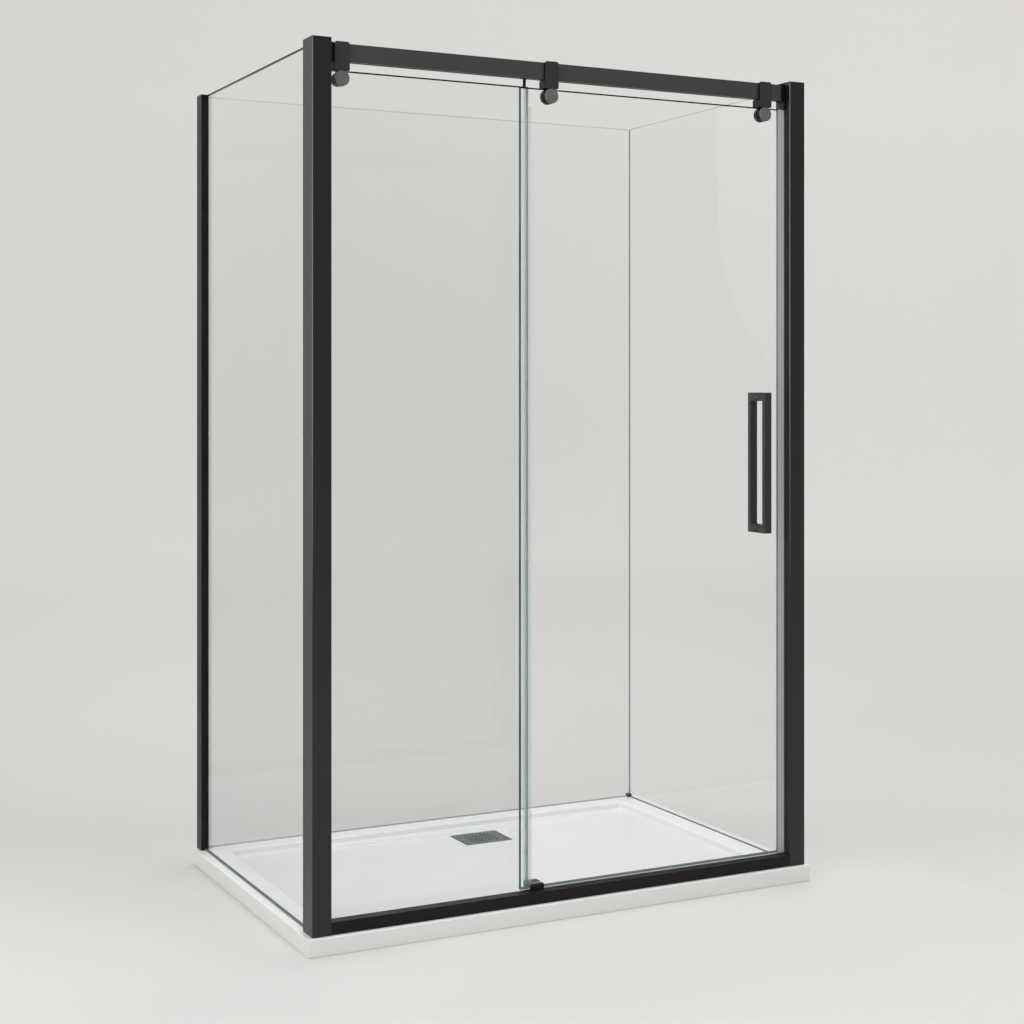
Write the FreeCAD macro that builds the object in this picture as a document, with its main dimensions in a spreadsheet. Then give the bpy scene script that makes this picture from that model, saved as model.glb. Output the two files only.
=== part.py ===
import FreeCAD, Part
import math
import os
from types import SimpleNamespace

import Sketcher
from FreeCAD import Placement, Rotation, Vector

# Shower enclosure with a sliding door, in millimetres.
# The origin is the middle of the tray's underside: +X to the right, +Y to the back, +Z up.

driving = {
    # tray and waste
    "tray_length": 1400, "tray_width": 900, "tray_height": 42,
    "tray_corner": 8, "tray_edge": 3,
    "recess_side": 85, "recess_back": 72, "recess_corner": 30,
    "wall_run": 11, "wall_foot": 28, "ramp_run": 24, "ramp_foot": 26,
    "drain_from_left": 783, "drain_from_front": 717, "drain_level": 21,
    "cover_length": 142, "cover_width": 116, "cover_thick": 3, "cover_gap": 0.7,
    "cover_corner": 5, "slot_length": 14, "slot_width": 4.4, "slot_pitch_along": 18.5,
    "slot_pitch_across": 11.5, "slot_columns": 7, "slot_rows": 4,
    "cover_foot_radius": 3.5, "cover_foot_place": 36,
    "sump_floor": 9, "waste_hole": 45, "waste_cup": 44, "waste_flange": 57, "waste_wall": 2,
    "cup_floor": 4, "outlet_radius": 21, "outlet_wall": 3, "seal_thick": 1.5,
    "clamp_pocket": 62, "clamp_pocket_deep": 5, "clamp_radius": 60, "clamp_gap": 0.3,
    # posts and profiles
    "frame_margin": 13, "post_width": 47, "post_depth": 62, "post_front": 10, "post_wall": 2,
    "post_top": 2098, "profile_top": 2090, "post_cap": 2, "post_edge": 1.2, "post_core_back": 42.5,
    "cap_bevel": 0.6, "plug_gap": 0.3, "plug_deep": 8,
    "glass_thick": 8, "bead_thick": 1.5, "bead_proud": 0.6, "bead_lift": 1, "channel_deep": 15,
    "side_from_edge": 24, "fixed_front": 58, "fixed_channel_deep": 13,
    "profile_margin": 11, "profile_width": 26, "profile_depth": 40, "back_glass_back": 10,
    "back_channel_deep": 6, "profile_core": 10, "profile_screw_radius": 2.25, "profile_screw_low": 350,
    "profile_screw_pitch": 700, "profile_screws": 3,
    "sill_front": 12, "sill_depth": 30, "sill_top": 71, "sill_flange": 48, "sill_wall": 2,
    "gutter_lip": 56, "gutter_wall": 1.3, "gutter_clear": 0.3,
    "foot_channel_width": 12, "foot_channel_top": 46, "foot_channel_wall": 1.6,
    "strike_front": 33, "strike_width": 14, "strike_deep": 4, "strike_clear": 0.3,
    # rail
    "rail_front": 31, "rail_depth": 18, "rail_low": 2050, "rail_height": 42,
    "rail_wall": 2, "rail_flange": 2.5, "rail_slot": 6,
    "socket_wall": 1.6, "socket_base": 3, "socket_length": 13, "socket_screw_radius": 2.2,
    "socket_screw_head": 4.2, "socket_screw_rise": 22, "socket_screw_gap": 24,
    "buffer_length": 20, "buffer_height": 22, "door_travel": 450,
    "block_length": 8, "block_front": 27, "block_depth": 22, "block_bevel": 1.5,
    # glass
    "glass_top": 2089, "side_glass_low": 43.6, "back_glass_low": 44, "pane_clear": 2, "edge_clear": 1,
    "fixed_right": 590, "fixed_low": 48, "fixed_top": 2034,
    "door_left": 559, "door_right": 1325, "door_front": 36, "door_low": 75.5, "door_top": 2028.5,
    "joint_thick": 0.6, "foot_block": 15, "foot_block_height": 9,
    # hangers and glass clamps
    "hanger_width": 37, "hanger_front": 23.5, "hanger_plate": 7, "hanger_low": 2029.5,
    "hanger_top": 2095, "hanger_bevel": 4, "hanger_back": 56, "rail_clear": 0.5,
    "hanger_fixed_at": 91.5, "hanger_left_at": 640, "hanger_right_at": 1273,
    "stem_thick": 5.4, "stem_top": 2068, "stem_half": 18, "tongue_half": 12, "tongue_low": 1999,
    "tongue_front": 31, "disc_radius": 18.5, "disc_edge": 1, "disc_step": 0.5, "disc_floor": 2,
    "gasket_thick": 1, "gasket_inset": 1,
    "bolt_radius": 5, "bolt_front": 27, "glass_hole": 7, "rear_disc_thick": 10.5,
    "fixed_nut_radius": 11, "fixed_nut_thick": 6, "spacer_radius": 16,
    "wheel_radius": 8.5, "wheel_width": 3.5, "wheel_gap": 0.3, "wheel_spread": 18.5,
    "axle_radius": 2.5, "axle_clear": 0.05, "pin_radius": 4, "pin_at": 583.5,
    "pin_arm": 3, "pin_plate": 16,
    # handle
    "handle_at": 1265.5, "handle_width": 21, "handle_bar": 13, "handle_low": 918,
    "handle_height": 366, "handle_arm": 22, "handle_reach_front": 39, "handle_reach_rear": 42,
    "washer_thick": 0.5, "washer_inset": 1.5,
    "handle_bolt": 4, "handle_hole": 6, "handle_bolt_deep": 15, "handle_edge": 1.5,
    # guide block and seals
    "guide_left": 584, "guide_width": 36, "guide_front": 28, "guide_back": 72,
    "guide_top": 87, "guide_slot": 14, "guide_web": 1, "guide_bevel": 3, "guide_play": 1.5,
    "liner_thick": 1.7,
    "drip_low": 72.4, "drip_leg": 0.8, "drip_shoulder": 74, "drip_fin": 2, "drip_grip": 4.5,
    "seal_leg": 1.3, "seal_grip": 5, "seal_end": 0.6, "seal_top_gap": 1,
    "overlap_left": 582, "overlap_low": 60, "overlap_fin_low": 73, "overlap_fin_top": 1985,
    "overlap_fin": 12.4, "overlap_lean": 2.5,
}


class Length:
    # A size that carries its number together with the rule that ties it to the sheet.
    def __init__(self, value, rule):
        self.value = float(value)
        self.rule = rule

    def joined(self, other, sign, value):
        return Length(value, f"({self.rule} {sign} {other.rule})")

    def __add__(self, other):
        other = length(other)
        return self.joined(other, "+", self.value + other.value)

    def __sub__(self, other):
        other = length(other)
        return self.joined(other, "-", self.value - other.value)

    def __mul__(self, other):
        other = length(other)
        return self.joined(other, "*", self.value * other.value)

    def __truediv__(self, other):
        other = length(other)
        return self.joined(other, "/", self.value / other.value)

    def __radd__(self, other):
        return length(other) + self

    def __rsub__(self, other):
        return length(other) - self

    def __rmul__(self, other):
        return length(other) * self

    def __neg__(self):
        return length(0) - self


def length(size):
    return size if isinstance(size, Length) else Length(size, repr(size))


doc = FreeCAD.newDocument("ShowerEnclosure")
sheet = doc.addObject("Spreadsheet::Sheet", "Sizes")
for row, (alias, number) in enumerate(driving.items(), start=1):
    sheet.set(f"A{row}", alias)
    sheet.set(f"B{row}", str(number))
    sheet.setAlias(f"B{row}", alias)
doc.recompute()
s = SimpleNamespace(**{alias: Length(sheet.get(alias), f"Sizes.{alias}") for alias in driving})

left = -s.tray_length / 2
right = s.tray_length / 2
front = -s.tray_width / 2
back = s.tray_width / 2
floor = length(0)

post_left_in = left + s.frame_margin + s.post_width
post_right_in = right - s.frame_margin - s.post_width
post_back = front + s.post_front + s.post_depth
door_back = s.door_front + s.glass_thick
side_mid = s.side_from_edge + s.glass_thick / 2
rail_mid = front + s.rail_front + s.rail_depth / 2
rail_top = s.rail_low + s.rail_height
disc_level = s.hanger_low - s.disc_radius
drain_x = left + s.drain_from_left
drain_y = front + s.drain_from_front
back_glass_rear = back - s.back_glass_back
wheel_level = s.rail_low + s.rail_flange + s.wheel_radius + s.wheel_gap

pieces = {}
hair = 0.01  # levels closer than this count as one where edges are picked
roles = {"X": "YZ_Plane", "Y": "XZ_Plane", "Z": "XY_Plane"}
axes = {"X": Vector(1, 0, 0), "Y": Vector(0, 1, 0), "Z": Vector(0, 0, 1)}


def piece(label, solid):
    # Names a finished sub-part; its label is its file's name.
    solid.Label = label
    pieces[label] = solid
    return solid


def box(name, low, high):
    solid = doc.addObject("Part::Box", name)
    for side, start, end in zip(("Length", "Width", "Height"), low, high):
        solid.setExpression(side, (length(end) - start).rule)
    for axis, start in zip("xyz", low):
        solid.setExpression(f"Placement.Base.{axis}", length(start).rule)
    return solid


def rod(name, axis, start, radius, reach):
    # A cylinder that runs along an axis from the middle of its first face.
    solid = doc.addObject("Part::Cylinder", name)
    solid.Placement = Placement(Vector(), Rotation(axes["Z"], axes[axis]))
    solid.setExpression("Radius", length(radius).rule)
    solid.setExpression("Height", length(reach).rule)
    for place, number in zip("xyz", start):
        solid.setExpression(f"Placement.Base.{place}", length(number).rule)
    return solid


def joined(name, *parts):
    solid = doc.addObject("Part::MultiFuse", name)
    solid.Shapes = list(parts)
    solid.Refine = True
    return solid


def cut(name, base, *tools):
    tool = tools[0] if len(tools) == 1 else joined(f"{name}_tools", *tools)
    solid = doc.addObject("Part::Cut", name)
    solid.Base = base
    solid.Tool = tool
    solid.Refine = True
    return solid


def group(name, *parts):
    # Identical small pieces that share one node as separate solids.
    solid = doc.addObject("Part::Compound", name)
    solid.Links = list(parts)
    return solid


def ring(name, axis, start, outer, inner, thick):
    return cut(name, rod(f"{name}_outer", axis, start, outer, thick),
               rod(f"{name}_bore", axis, start, inner, thick))


def origin_plane(body, role):
    return next(item for item in body.Origin.OriginFeatures if item.Role == role)


def new_body(name):
    return doc.addObject("PartDesign::Body", name)


def new_sketch(body, name, axis, level):
    # A sketch square to an axis, at a level along it.
    sketch = body.newObject("Sketcher::SketchObject", name)
    sketch.AttachmentSupport = (origin_plane(body, roles[axis]), [""])
    sketch.MapMode = "FlatFace"
    # the XZ plane's own normal points to -Y
    sign = -1 if axis == "Y" else 1
    sketch.setExpression("AttachmentOffset.Base.z", (sign * length(level)).rule)
    return sketch


def hold(sketch, element, end, x, y):
    # Ties a point of a sketch to its two distances from the origin.
    for kind, distance in (("DistanceX", x), ("DistanceY", y)):
        if distance is None:
            continue
        number = sketch.addConstraint(Sketcher.Constraint(kind, -1, 1, element, end, distance.value))
        sketch.setExpression(f"Constraints[{number}]", distance.rule)


def draw(sketch, outline):
    # A closed outline of straight lines through points given as pairs of lengths.
    points = [(length(x), length(y)) for x, y in outline]
    spots = [Vector(x.value, y.value, 0) for x, y in points]
    first = sketch.GeometryCount
    count = len(points)
    for number in range(count):
        sketch.addGeometry(Part.LineSegment(spots[number], spots[(number + 1) % count]), False)
    for number in range(count):
        following = first + (number + 1) % count
        sketch.addConstraint(Sketcher.Constraint("Coincident", first + number, 2, following, 1))
    for number, (x, y) in enumerate(points):
        hold(sketch, first + number, 1, x, y)


def draw_rounded(sketch, low, high, radius):
    # A rectangle with round corners: four lines and four quarter arcs between them.
    (x0, y0), (x1, y1) = low, high
    lines = [((x0 + radius, y0), (x1 - radius, y0)), ((x1, y0 + radius), (x1, y1 - radius)),
             ((x1 - radius, y1), (x0 + radius, y1)), ((x0, y1 - radius), (x0, y0 + radius))]
    centres = [(x1 - radius, y0 + radius), (x1 - radius, y1 - radius),
               (x0 + radius, y1 - radius), (x0 + radius, y0 + radius)]
    first = sketch.GeometryCount
    for start, end in lines:
        sketch.addGeometry(Part.LineSegment(Vector(start[0].value, start[1].value, 0),
                                            Vector(end[0].value, end[1].value, 0)), False)
    for number, centre in enumerate(centres):
        round_edge = Part.Circle(Vector(centre[0].value, centre[1].value, 0), axes["Z"], radius.value)
        turn = (number - 1) * math.pi / 2
        sketch.addGeometry(Part.ArcOfCircle(round_edge, turn, turn + math.pi / 2), False)
    for number, (start, end) in enumerate(lines):
        hold(sketch, first + number, 1, *start)
        hold(sketch, first + number, 2, *end)
    for number, centre in enumerate(centres):
        arc = first + 4 + number
        sketch.addConstraint(Sketcher.Constraint("Coincident", arc, 1, first + number, 2))
        sketch.addConstraint(Sketcher.Constraint("Coincident", arc, 2, first + (number + 1) % 4, 1))
        hold(sketch, arc, 3, centre[0], None)


def draw_circle(sketch, x, y, radius):
    x, y, radius = length(x), length(y), length(radius)
    circle = sketch.addGeometry(Part.Circle(Vector(x.value, y.value, 0), axes["Z"], radius.value), False)
    hold(sketch, circle, 3, x, y)
    number = sketch.addConstraint(Sketcher.Constraint("Radius", circle, radius.value))
    sketch.setExpression(f"Constraints[{number}]", radius.rule)


def pad(body, sketch, reach, back_along=False):
    feature = body.newObject("PartDesign::Pad", f"{body.Name}_pad")
    feature.Profile = sketch
    feature.setExpression("Length", length(reach).rule)
    feature.Reversed = back_along
    return feature


def pocket(body, sketch, reach, upward=False):
    # Cuts from the sketch against its normal, or along it; the volume has to shrink.
    doc.recompute()
    before = body.Shape.Volume
    feature = body.newObject("PartDesign::Pocket", f"{body.Name}_pocket")
    feature.Profile = sketch
    feature.setExpression("Length", length(reach).rule)
    feature.Reversed = upward
    doc.recompute()
    if not body.Shape.Volume < before:
        raise RuntimeError(f"{body.Name}: {sketch.Name} cuts nothing")
    return feature


def extrusion(label, axis, outlines, start, end):
    # A profile of one length: its section drawn square to the axis and padded along it.
    body = new_body(label)
    sketch = new_sketch(body, f"{label}_section", axis, start)
    for outline in outlines:
        draw(sketch, outline)
    pad(body, sketch, length(end) - start, back_along=axis == "Y")
    return body


def edges_where(shape, wanted):
    return [f"Edge{number}" for number, edge in enumerate(shape.Edges, start=1) if wanted(edge)]


def upright(edge):
    room = edge.BoundBox
    return room.ZLength > hair and room.XLength + room.YLength < hair


def round_edges(body, radius, wanted):
    # Rounds those edges of a body's newest feature that the test picks.
    doc.recompute()
    feature = body.newObject("PartDesign::Fillet", f"{body.Name}_round")
    base = feature.BaseFeature or body.Tip
    feature.Base = (base, edges_where(base.Shape, wanted))
    feature.setExpression("Radius", length(radius).rule)
    return feature


def bevel(name, base, size, wanted):
    # Bevels the chosen edges of a plain solid.
    doc.recompute()
    solid = doc.addObject("Part::Chamfer", name)
    solid.Base = base
    chosen = [number for number, edge in enumerate(base.Shape.Edges, start=1) if wanted(edge)]
    solid.Edges = [(number, size.value, size.value) for number in chosen]
    return solid


def rectangle(low, high):
    (x0, y0), (x1, y1) = low, high
    return [(x0, y0), (x1, y0), (x1, y1), (x0, y1)]


def make_tray():
    body = new_body("shower_tray")
    outline = new_sketch(body, "tray_outline", "Z", floor)
    draw(outline, rectangle((left, front), (right, back)))
    pad(body, outline, s.tray_height)
    round_edges(body, s.tray_corner, upright)
    top = s.tray_height.value
    round_edges(body, s.tray_edge, lambda edge: edge.BoundBox.ZMin > top - hair)

    # the basin: a steep wall, a soft ramp at its foot, then a floor that falls to the drain
    low = (left + s.recess_side, front + s.recess_side)
    high = (right - s.recess_side, back - s.recess_back)
    steps = ((s.tray_height, length(0)), (s.wall_foot, s.wall_run), (s.ramp_foot, s.ramp_run))
    sections = []
    for number, (level, inset) in enumerate(steps):
        sketch = new_sketch(body, f"basin_{number}", "Z", level)
        draw_rounded(sketch, (low[0] + inset, low[1] + inset), (high[0] - inset, high[1] - inset),
                     s.recess_corner - inset / 2)
        sections.append(sketch)
    half_x = s.cover_length / 2 + s.cover_gap
    half_y = s.cover_width / 2 + s.cover_gap
    drain_low = (drain_x - half_x, drain_y - half_y)
    drain_high = (drain_x + half_x, drain_y + half_y)
    drain = new_sketch(body, "basin_drain", "Z", s.drain_level)
    draw_rounded(drain, drain_low, drain_high, s.cover_corner)
    sections.append(drain)
    doc.recompute()
    basin = body.newObject("PartDesign::SubtractiveLoft", "tray_basin")
    basin.Profile = sections[0]
    basin.Sections = sections[1:]
    basin.Ruled = True

    sump = new_sketch(body, "sump", "Z", s.drain_level)
    draw_rounded(sump, drain_low, drain_high, s.cover_corner)
    pocket(body, sump, s.drain_level - s.sump_floor)
    hole = new_sketch(body, "waste_hole", "Z", s.sump_floor)
    draw_circle(hole, drain_x, drain_y, s.waste_hole)
    pocket(body, hole, s.sump_floor)
    under = new_sketch(body, "clamp_pocket", "Z", floor)
    draw_circle(under, drain_x, drain_y, s.clamp_pocket)
    pocket(body, under, s.clamp_pocket_deep, upward=True)
    piece("shower_tray", body)


def make_waste():
    def middle(level):
        return (drain_x, drain_y, level)

    piece("waste_seal", ring("waste_seal", "Z", middle(s.sump_floor), s.waste_flange, s.waste_hole,
                             s.seal_thick))
    flange_low = s.sump_floor + s.seal_thick
    flange_top = flange_low + s.waste_wall
    cup = joined("cup_outside", rod("cup_flange", "Z", middle(flange_low), s.waste_flange, s.waste_wall),
                 rod("cup_shell", "Z", middle(s.cup_floor), s.waste_cup, flange_top - s.cup_floor),
                 rod("cup_spigot", "Z", middle(floor), s.outlet_radius + s.outlet_wall, s.cup_floor))
    inside = s.cup_floor + s.waste_wall
    piece("waste_body", cut("waste_body", cup,
                            rod("cup_room", "Z", middle(inside), s.waste_cup - s.waste_wall,
                                flange_top - inside),
                            rod("cup_outlet", "Z", middle(floor), s.outlet_radius, inside)))
    piece("waste_clamp_ring", ring("waste_clamp_ring", "Z", middle(s.clamp_gap), s.clamp_radius,
                                   s.waste_cup + s.clamp_gap, s.clamp_pocket_deep - s.clamp_gap))

    # the cover stands on four feet on the waste's flange and carries rows of short slots
    cover_low = s.drain_level - s.cover_thick
    plate = new_body("cover_plate")
    outline = new_sketch(plate, "cover_outline", "Z", cover_low)
    draw_rounded(outline, (drain_x - s.cover_length / 2, drain_y - s.cover_width / 2),
                 (drain_x + s.cover_length / 2, drain_y + s.cover_width / 2), s.cover_corner)
    pad(plate, outline, s.cover_thick)
    slots = []
    columns, rows = driving["slot_columns"], driving["slot_rows"]
    for column in range(columns):
        for line in range(rows):
            x = drain_x + (column - (columns - 1) / 2) * s.slot_pitch_across
            y = drain_y + (line - (rows - 1) / 2) * s.slot_pitch_along
            slots.append(box("slot", (x - s.slot_width / 2, y - s.slot_length / 2, cover_low),
                             (x + s.slot_width / 2, y + s.slot_length / 2, s.drain_level)))
    feet = [rod("cover_foot", "Z", (drain_x + across * s.cover_foot_place,
                                    drain_y + along * s.cover_foot_place, flange_top),
                s.cover_foot_radius, cover_low - flange_top)
            for across in (-1, 1) for along in (-1, 1)]
    piece("waste_cover", cut("waste_cover", joined("cover_whole", plate, *feet), *slots))


def post_section(outside, inward, side_glass_mid, fixed_channel):
    # One front post's outline in plan, from its outer front corner; inward is +1 or -1 along X.
    near = front + s.post_front
    inside = outside + inward * s.post_width
    slot = s.glass_thick / 2 + s.bead_thick
    outline = [(outside, near), (inside, near)]
    if fixed_channel:
        low = front + s.fixed_front - s.bead_thick
        high = low + s.glass_thick + 2 * s.bead_thick
        deep = inside - inward * s.fixed_channel_deep
        outline += [(inside, low), (deep, low), (deep, high), (inside, high)]
    else:
        low = front + s.strike_front
        deep = inside - inward * s.strike_deep
        high = low + s.strike_width
        outline += [(inside, low), (deep, low), (deep, high), (inside, high)]
    bottom = post_back - s.channel_deep
    outline += [(inside, post_back), (side_glass_mid + inward * slot, post_back),
                (side_glass_mid + inward * slot, bottom), (side_glass_mid - inward * slot, bottom),
                (side_glass_mid - inward * slot, post_back), (outside, post_back)]
    core_inside = inside - inward * (s.post_wall if fixed_channel else s.strike_deep + s.post_wall)
    core = rectangle((outside + inward * s.post_wall, near + s.post_wall),
                     (core_inside, near + s.post_core_back))
    rear_inside = inside - inward * (s.fixed_channel_deep + s.post_wall if fixed_channel else s.post_wall)
    rear_core = rectangle((side_glass_mid + inward * (slot + s.post_wall),
                           near + s.post_core_back + s.post_wall), (rear_inside, post_back - s.post_wall))
    return [outline, core, rear_core]


def make_posts():
    bolt_levels = [s.rail_low + s.socket_screw_rise - s.socket_screw_gap / 2,
                   s.rail_low + s.socket_screw_rise + s.socket_screw_gap / 2]
    for side, outside, inward in (("left", left + s.frame_margin, 1),
                                  ("right", right - s.frame_margin, -1)):
        glass_mid = left + side_mid if side == "left" else right - side_mid
        section = post_section(outside, inward, glass_mid, side == "left")
        body = extrusion(f"post_{side}_tube", "Z", section, s.tray_height, s.post_top)
        near = (front + s.post_front).value
        round_edges(body, s.post_edge,
                    lambda edge, near=near: upright(edge) and abs(edge.BoundBox.YMin - near) < hair)
        inside = outside + inward * s.post_width
        depth = s.fixed_channel_deep + s.post_wall
        start = inside - depth if side == "left" else inside
        holes = [rod(f"socket_hole_{side}", "X", (start, rail_mid, level), s.socket_screw_radius, depth)
                 for level in bolt_levels]
        piece(f"post_{side}", cut(f"post_{side}", body, *holes))
        low_x, high_x = (outside, inside) if side == "left" else (inside, outside)
        cap = box(f"cap_plate_{side}", (low_x, front + s.post_front, s.post_top),
                  (high_x, post_back, s.post_top + s.post_cap))
        cap = bevel(f"cap_edge_{side}", cap, s.cap_bevel,
                    lambda edge: edge.BoundBox.ZMin > s.post_top.value + hair)
        inset = s.post_wall + s.plug_gap
        plug = box(f"cap_plug_{side}", (low_x + s.strike_deep + inset, front + s.post_front + inset,
                                        s.post_top - s.plug_deep),
                   (high_x - s.strike_deep - inset, front + s.post_front + s.post_core_back - s.plug_gap,
                    s.post_top))
        piece(f"post_{side}_cap", joined(f"post_{side}_cap", cap, plug))


def make_corner_profile():
    # The back-left profile takes the side glass from its front and the back glass from its right.
    outer = left + s.profile_margin
    inner = outer + s.profile_width
    near = back - s.profile_depth
    slot = s.glass_thick / 2 + s.bead_thick
    mid = left + side_mid
    rear_mid = back_glass_rear - s.glass_thick / 2
    bottom = near + s.channel_deep
    deep = inner - s.back_channel_deep
    outline = [(outer, near), (mid - slot, near), (mid - slot, bottom), (mid + slot, bottom),
               (mid + slot, near), (inner, near), (inner, rear_mid - slot), (deep, rear_mid - slot),
               (deep, rear_mid + slot), (inner, rear_mid + slot), (inner, back), (outer, back)]
    # a hollow beside the solid strip that takes the wall screws
    core = rectangle((outer + s.post_wall, bottom + s.post_wall),
                     (outer + s.post_wall + s.profile_core, back - s.post_wall))
    body = extrusion("profile_bar", "Z", [outline, core], s.tray_height, s.profile_top)
    holes = [rod("profile_hole", "Y", (mid, bottom, s.profile_screw_low + number * s.profile_screw_pitch),
                 s.profile_screw_radius, back - bottom) for number in range(driving["profile_screws"])]
    piece("corner_profile", cut("corner_profile", body, *holes))
    cap = box("corner_cap_plate", (outer, near, s.profile_top),
              (inner, back, s.profile_top + s.post_cap))
    cap = bevel("corner_cap_edge", cap, s.cap_bevel,
                lambda edge: edge.BoundBox.ZMin > s.profile_top.value + hair)
    gap = s.post_wall + s.plug_gap
    plug = box("corner_cap_plug", (outer + gap, bottom + gap, s.profile_top - s.plug_deep),
               (outer + s.post_wall + s.profile_core - s.plug_gap, back - gap, s.profile_top))
    piece("corner_profile_cap", joined("corner_profile_cap", cap, plug))


def make_beads():
    slot = s.glass_thick / 2 + s.bead_thick
    low, top = s.foot_channel_top + s.bead_lift, s.glass_top

    def side_pair(name, mid, start, end):
        return [box(name, (mid - slot, start, low), (mid - slot + s.bead_thick, end, top)),
                box(name, (mid + slot - s.bead_thick, start, low), (mid + slot, end, top))]

    bottom = post_back - s.channel_deep
    proud = post_back + s.bead_proud
    fixed_low = front + s.fixed_front
    deep = post_left_in - s.fixed_channel_deep
    fixed = [box("fixed_bead", (deep, y, s.sill_top + s.bead_lift),
                 (post_left_in + s.bead_proud, y + s.bead_thick, s.fixed_top))
             for y in (fixed_low - s.bead_thick, fixed_low + s.glass_thick)]
    piece("post_left_beads", group("left_beads", *side_pair("left_bead", left + side_mid, bottom, proud),
                                   *fixed))
    piece("post_right_beads", group("right_beads",
                                    *side_pair("right_bead", right - side_mid, bottom, proud)))
    near = back - s.profile_depth
    inner = left + s.profile_margin + s.profile_width
    rear = [box("back_bead", (inner - s.back_channel_deep, y, low),
                (inner + s.bead_proud, y + s.bead_thick, top))
            for y in (back_glass_rear - s.glass_thick - s.bead_thick, back_glass_rear)]
    piece("corner_profile_beads",
          group("profile_beads", *side_pair("profile_bead", left + side_mid, near - s.bead_proud,
                                            near + s.channel_deep), *rear))


def make_sill():
    near = front + s.sill_front
    rear = near + s.sill_depth
    flange_back = post_back
    fixed = front + s.fixed_front
    lip_front = fixed - s.gutter_clear
    lip_back = fixed + s.glass_thick + s.gutter_clear
    outline = [(near, s.tray_height), (flange_back, s.tray_height), (flange_back, s.sill_flange),
               (lip_back + s.gutter_wall, s.sill_flange), (lip_back + s.gutter_wall, s.gutter_lip),
               (lip_back, s.gutter_lip), (lip_back, s.sill_flange), (lip_front, s.sill_flange),
               (lip_front, s.gutter_lip), (lip_front - s.gutter_wall, s.gutter_lip),
               (lip_front - s.gutter_wall, s.sill_flange), (rear, s.sill_flange), (rear, s.sill_top),
               (near, s.sill_top)]
    hollow = rectangle((near + s.sill_wall, s.tray_height + s.sill_wall),
                       (rear - s.sill_wall, s.sill_top - s.sill_wall))
    piece("front_sill", extrusion("front_sill", "X", [outline, hollow], post_left_in, post_right_in))

    mid = left + side_mid
    half = s.foot_channel_width / 2
    wall = s.foot_channel_wall
    low, top = s.tray_height, s.foot_channel_top
    start, end = post_back + s.bead_proud, back - s.profile_depth - s.bead_proud
    channel = [(mid - half, low), (mid + half, low), (mid + half, top), (mid + half - wall, top),
               (mid + half - wall, low + wall), (mid - half + wall, low + wall),
               (mid - half + wall, top), (mid - half, top)]
    piece("side_channel", extrusion("side_channel", "Y", [channel], start, end))


def make_rail():
    near, rear = front + s.rail_front, front + s.rail_front + s.rail_depth
    low, top = s.rail_low, rail_top
    half_slot = s.rail_slot / 2
    outline = [(near, low), (rail_mid - half_slot, low), (rail_mid - half_slot, low + s.rail_flange),
               (near + s.rail_wall, low + s.rail_flange), (near + s.rail_wall, top - s.rail_wall),
               (rear - s.rail_wall, top - s.rail_wall), (rear - s.rail_wall, low + s.rail_flange),
               (rail_mid + half_slot, low + s.rail_flange), (rail_mid + half_slot, low), (rear, low),
               (rear, top), (near, top)]
    start, end = post_left_in + s.socket_base, post_right_in - s.socket_base
    piece("top_rail", extrusion("top_rail", "X", [outline], start, end))

    # each end of the rail sits in a sleeve that two screws hold to the post
    levels = [s.rail_low + s.socket_screw_rise - s.socket_screw_gap / 2,
              s.rail_low + s.socket_screw_rise + s.socket_screw_gap / 2]
    screws = []
    for side, face, rail_end, inward in (("left", post_left_in, start, 1),
                                         ("right", post_right_in, end, -1)):
        mouth = face + inward * s.socket_length
        x0, x1 = (face, mouth) if side == "left" else (mouth, face)
        wall = s.socket_wall
        sleeve = box(f"sleeve_{side}", (x0, near - wall, low - wall), (x1, rear + wall, top + wall))
        r0, r1 = (rail_end, mouth) if side == "left" else (mouth, rail_end)
        room = box(f"sleeve_room_{side}", (r0, near, low), (r1, rear, top))
        gap = box(f"sleeve_gap_{side}", (r0, rail_mid - half_slot, low - wall),
                  (r1, rail_mid + half_slot, low))
        holes = [rod(f"sleeve_hole_{side}", "X", (x0 if side == "left" else rail_end, rail_mid, level),
                     s.socket_screw_radius, s.socket_base) for level in levels]
        piece(f"rail_socket_{side}", cut(f"rail_socket_{side}", sleeve, room, gap, *holes))
        for level in levels:
            head = (rail_end if side == "left" else rail_end - s.socket_base, rail_mid, level)
            shank_from = face - s.post_wall if side == "left" else rail_end
            shank = rod("socket_shank", "X", (shank_from, rail_mid, level), s.socket_screw_radius,
                        s.socket_base + s.post_wall)
            screws.append(joined("socket_screw", rod("socket_head", "X", head, s.socket_screw_head,
                                                     s.socket_base), shank))
    piece("rail_socket_screws", group("rail_screws", *screws))

    # rubber buffers inside the rail stop the outer sides of the door's two hangers
    clear = s.strike_clear
    buffers = []
    for edge, inward in ((left + s.hanger_left_at - s.stem_half - s.door_travel - clear, -1),
                         (left + s.hanger_right_at + s.stem_half + clear, 1)):
        x0, x1 = (edge - s.buffer_length, edge) if inward < 0 else (edge, edge + s.buffer_length)
        buffers.append(box("buffer", (x0, near + s.rail_wall, low + s.rail_flange),
                           (x1, rear - s.rail_wall, low + s.rail_flange + s.buffer_height)))
    piece("rail_buffers", group("rail_buffers", *buffers))

    block_front = front + s.block_front
    block = box("strike_block_plain", (post_right_in - s.block_length, block_front, s.hanger_low),
                (post_right_in, block_front + s.block_depth, s.rail_low - s.socket_wall))
    piece("strike_block", bevel("strike_block", block, s.block_bevel,
                                lambda edge: edge.BoundBox.ZLength > hair
                                and edge.BoundBox.XMax < post_right_in.value - hair))


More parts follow.
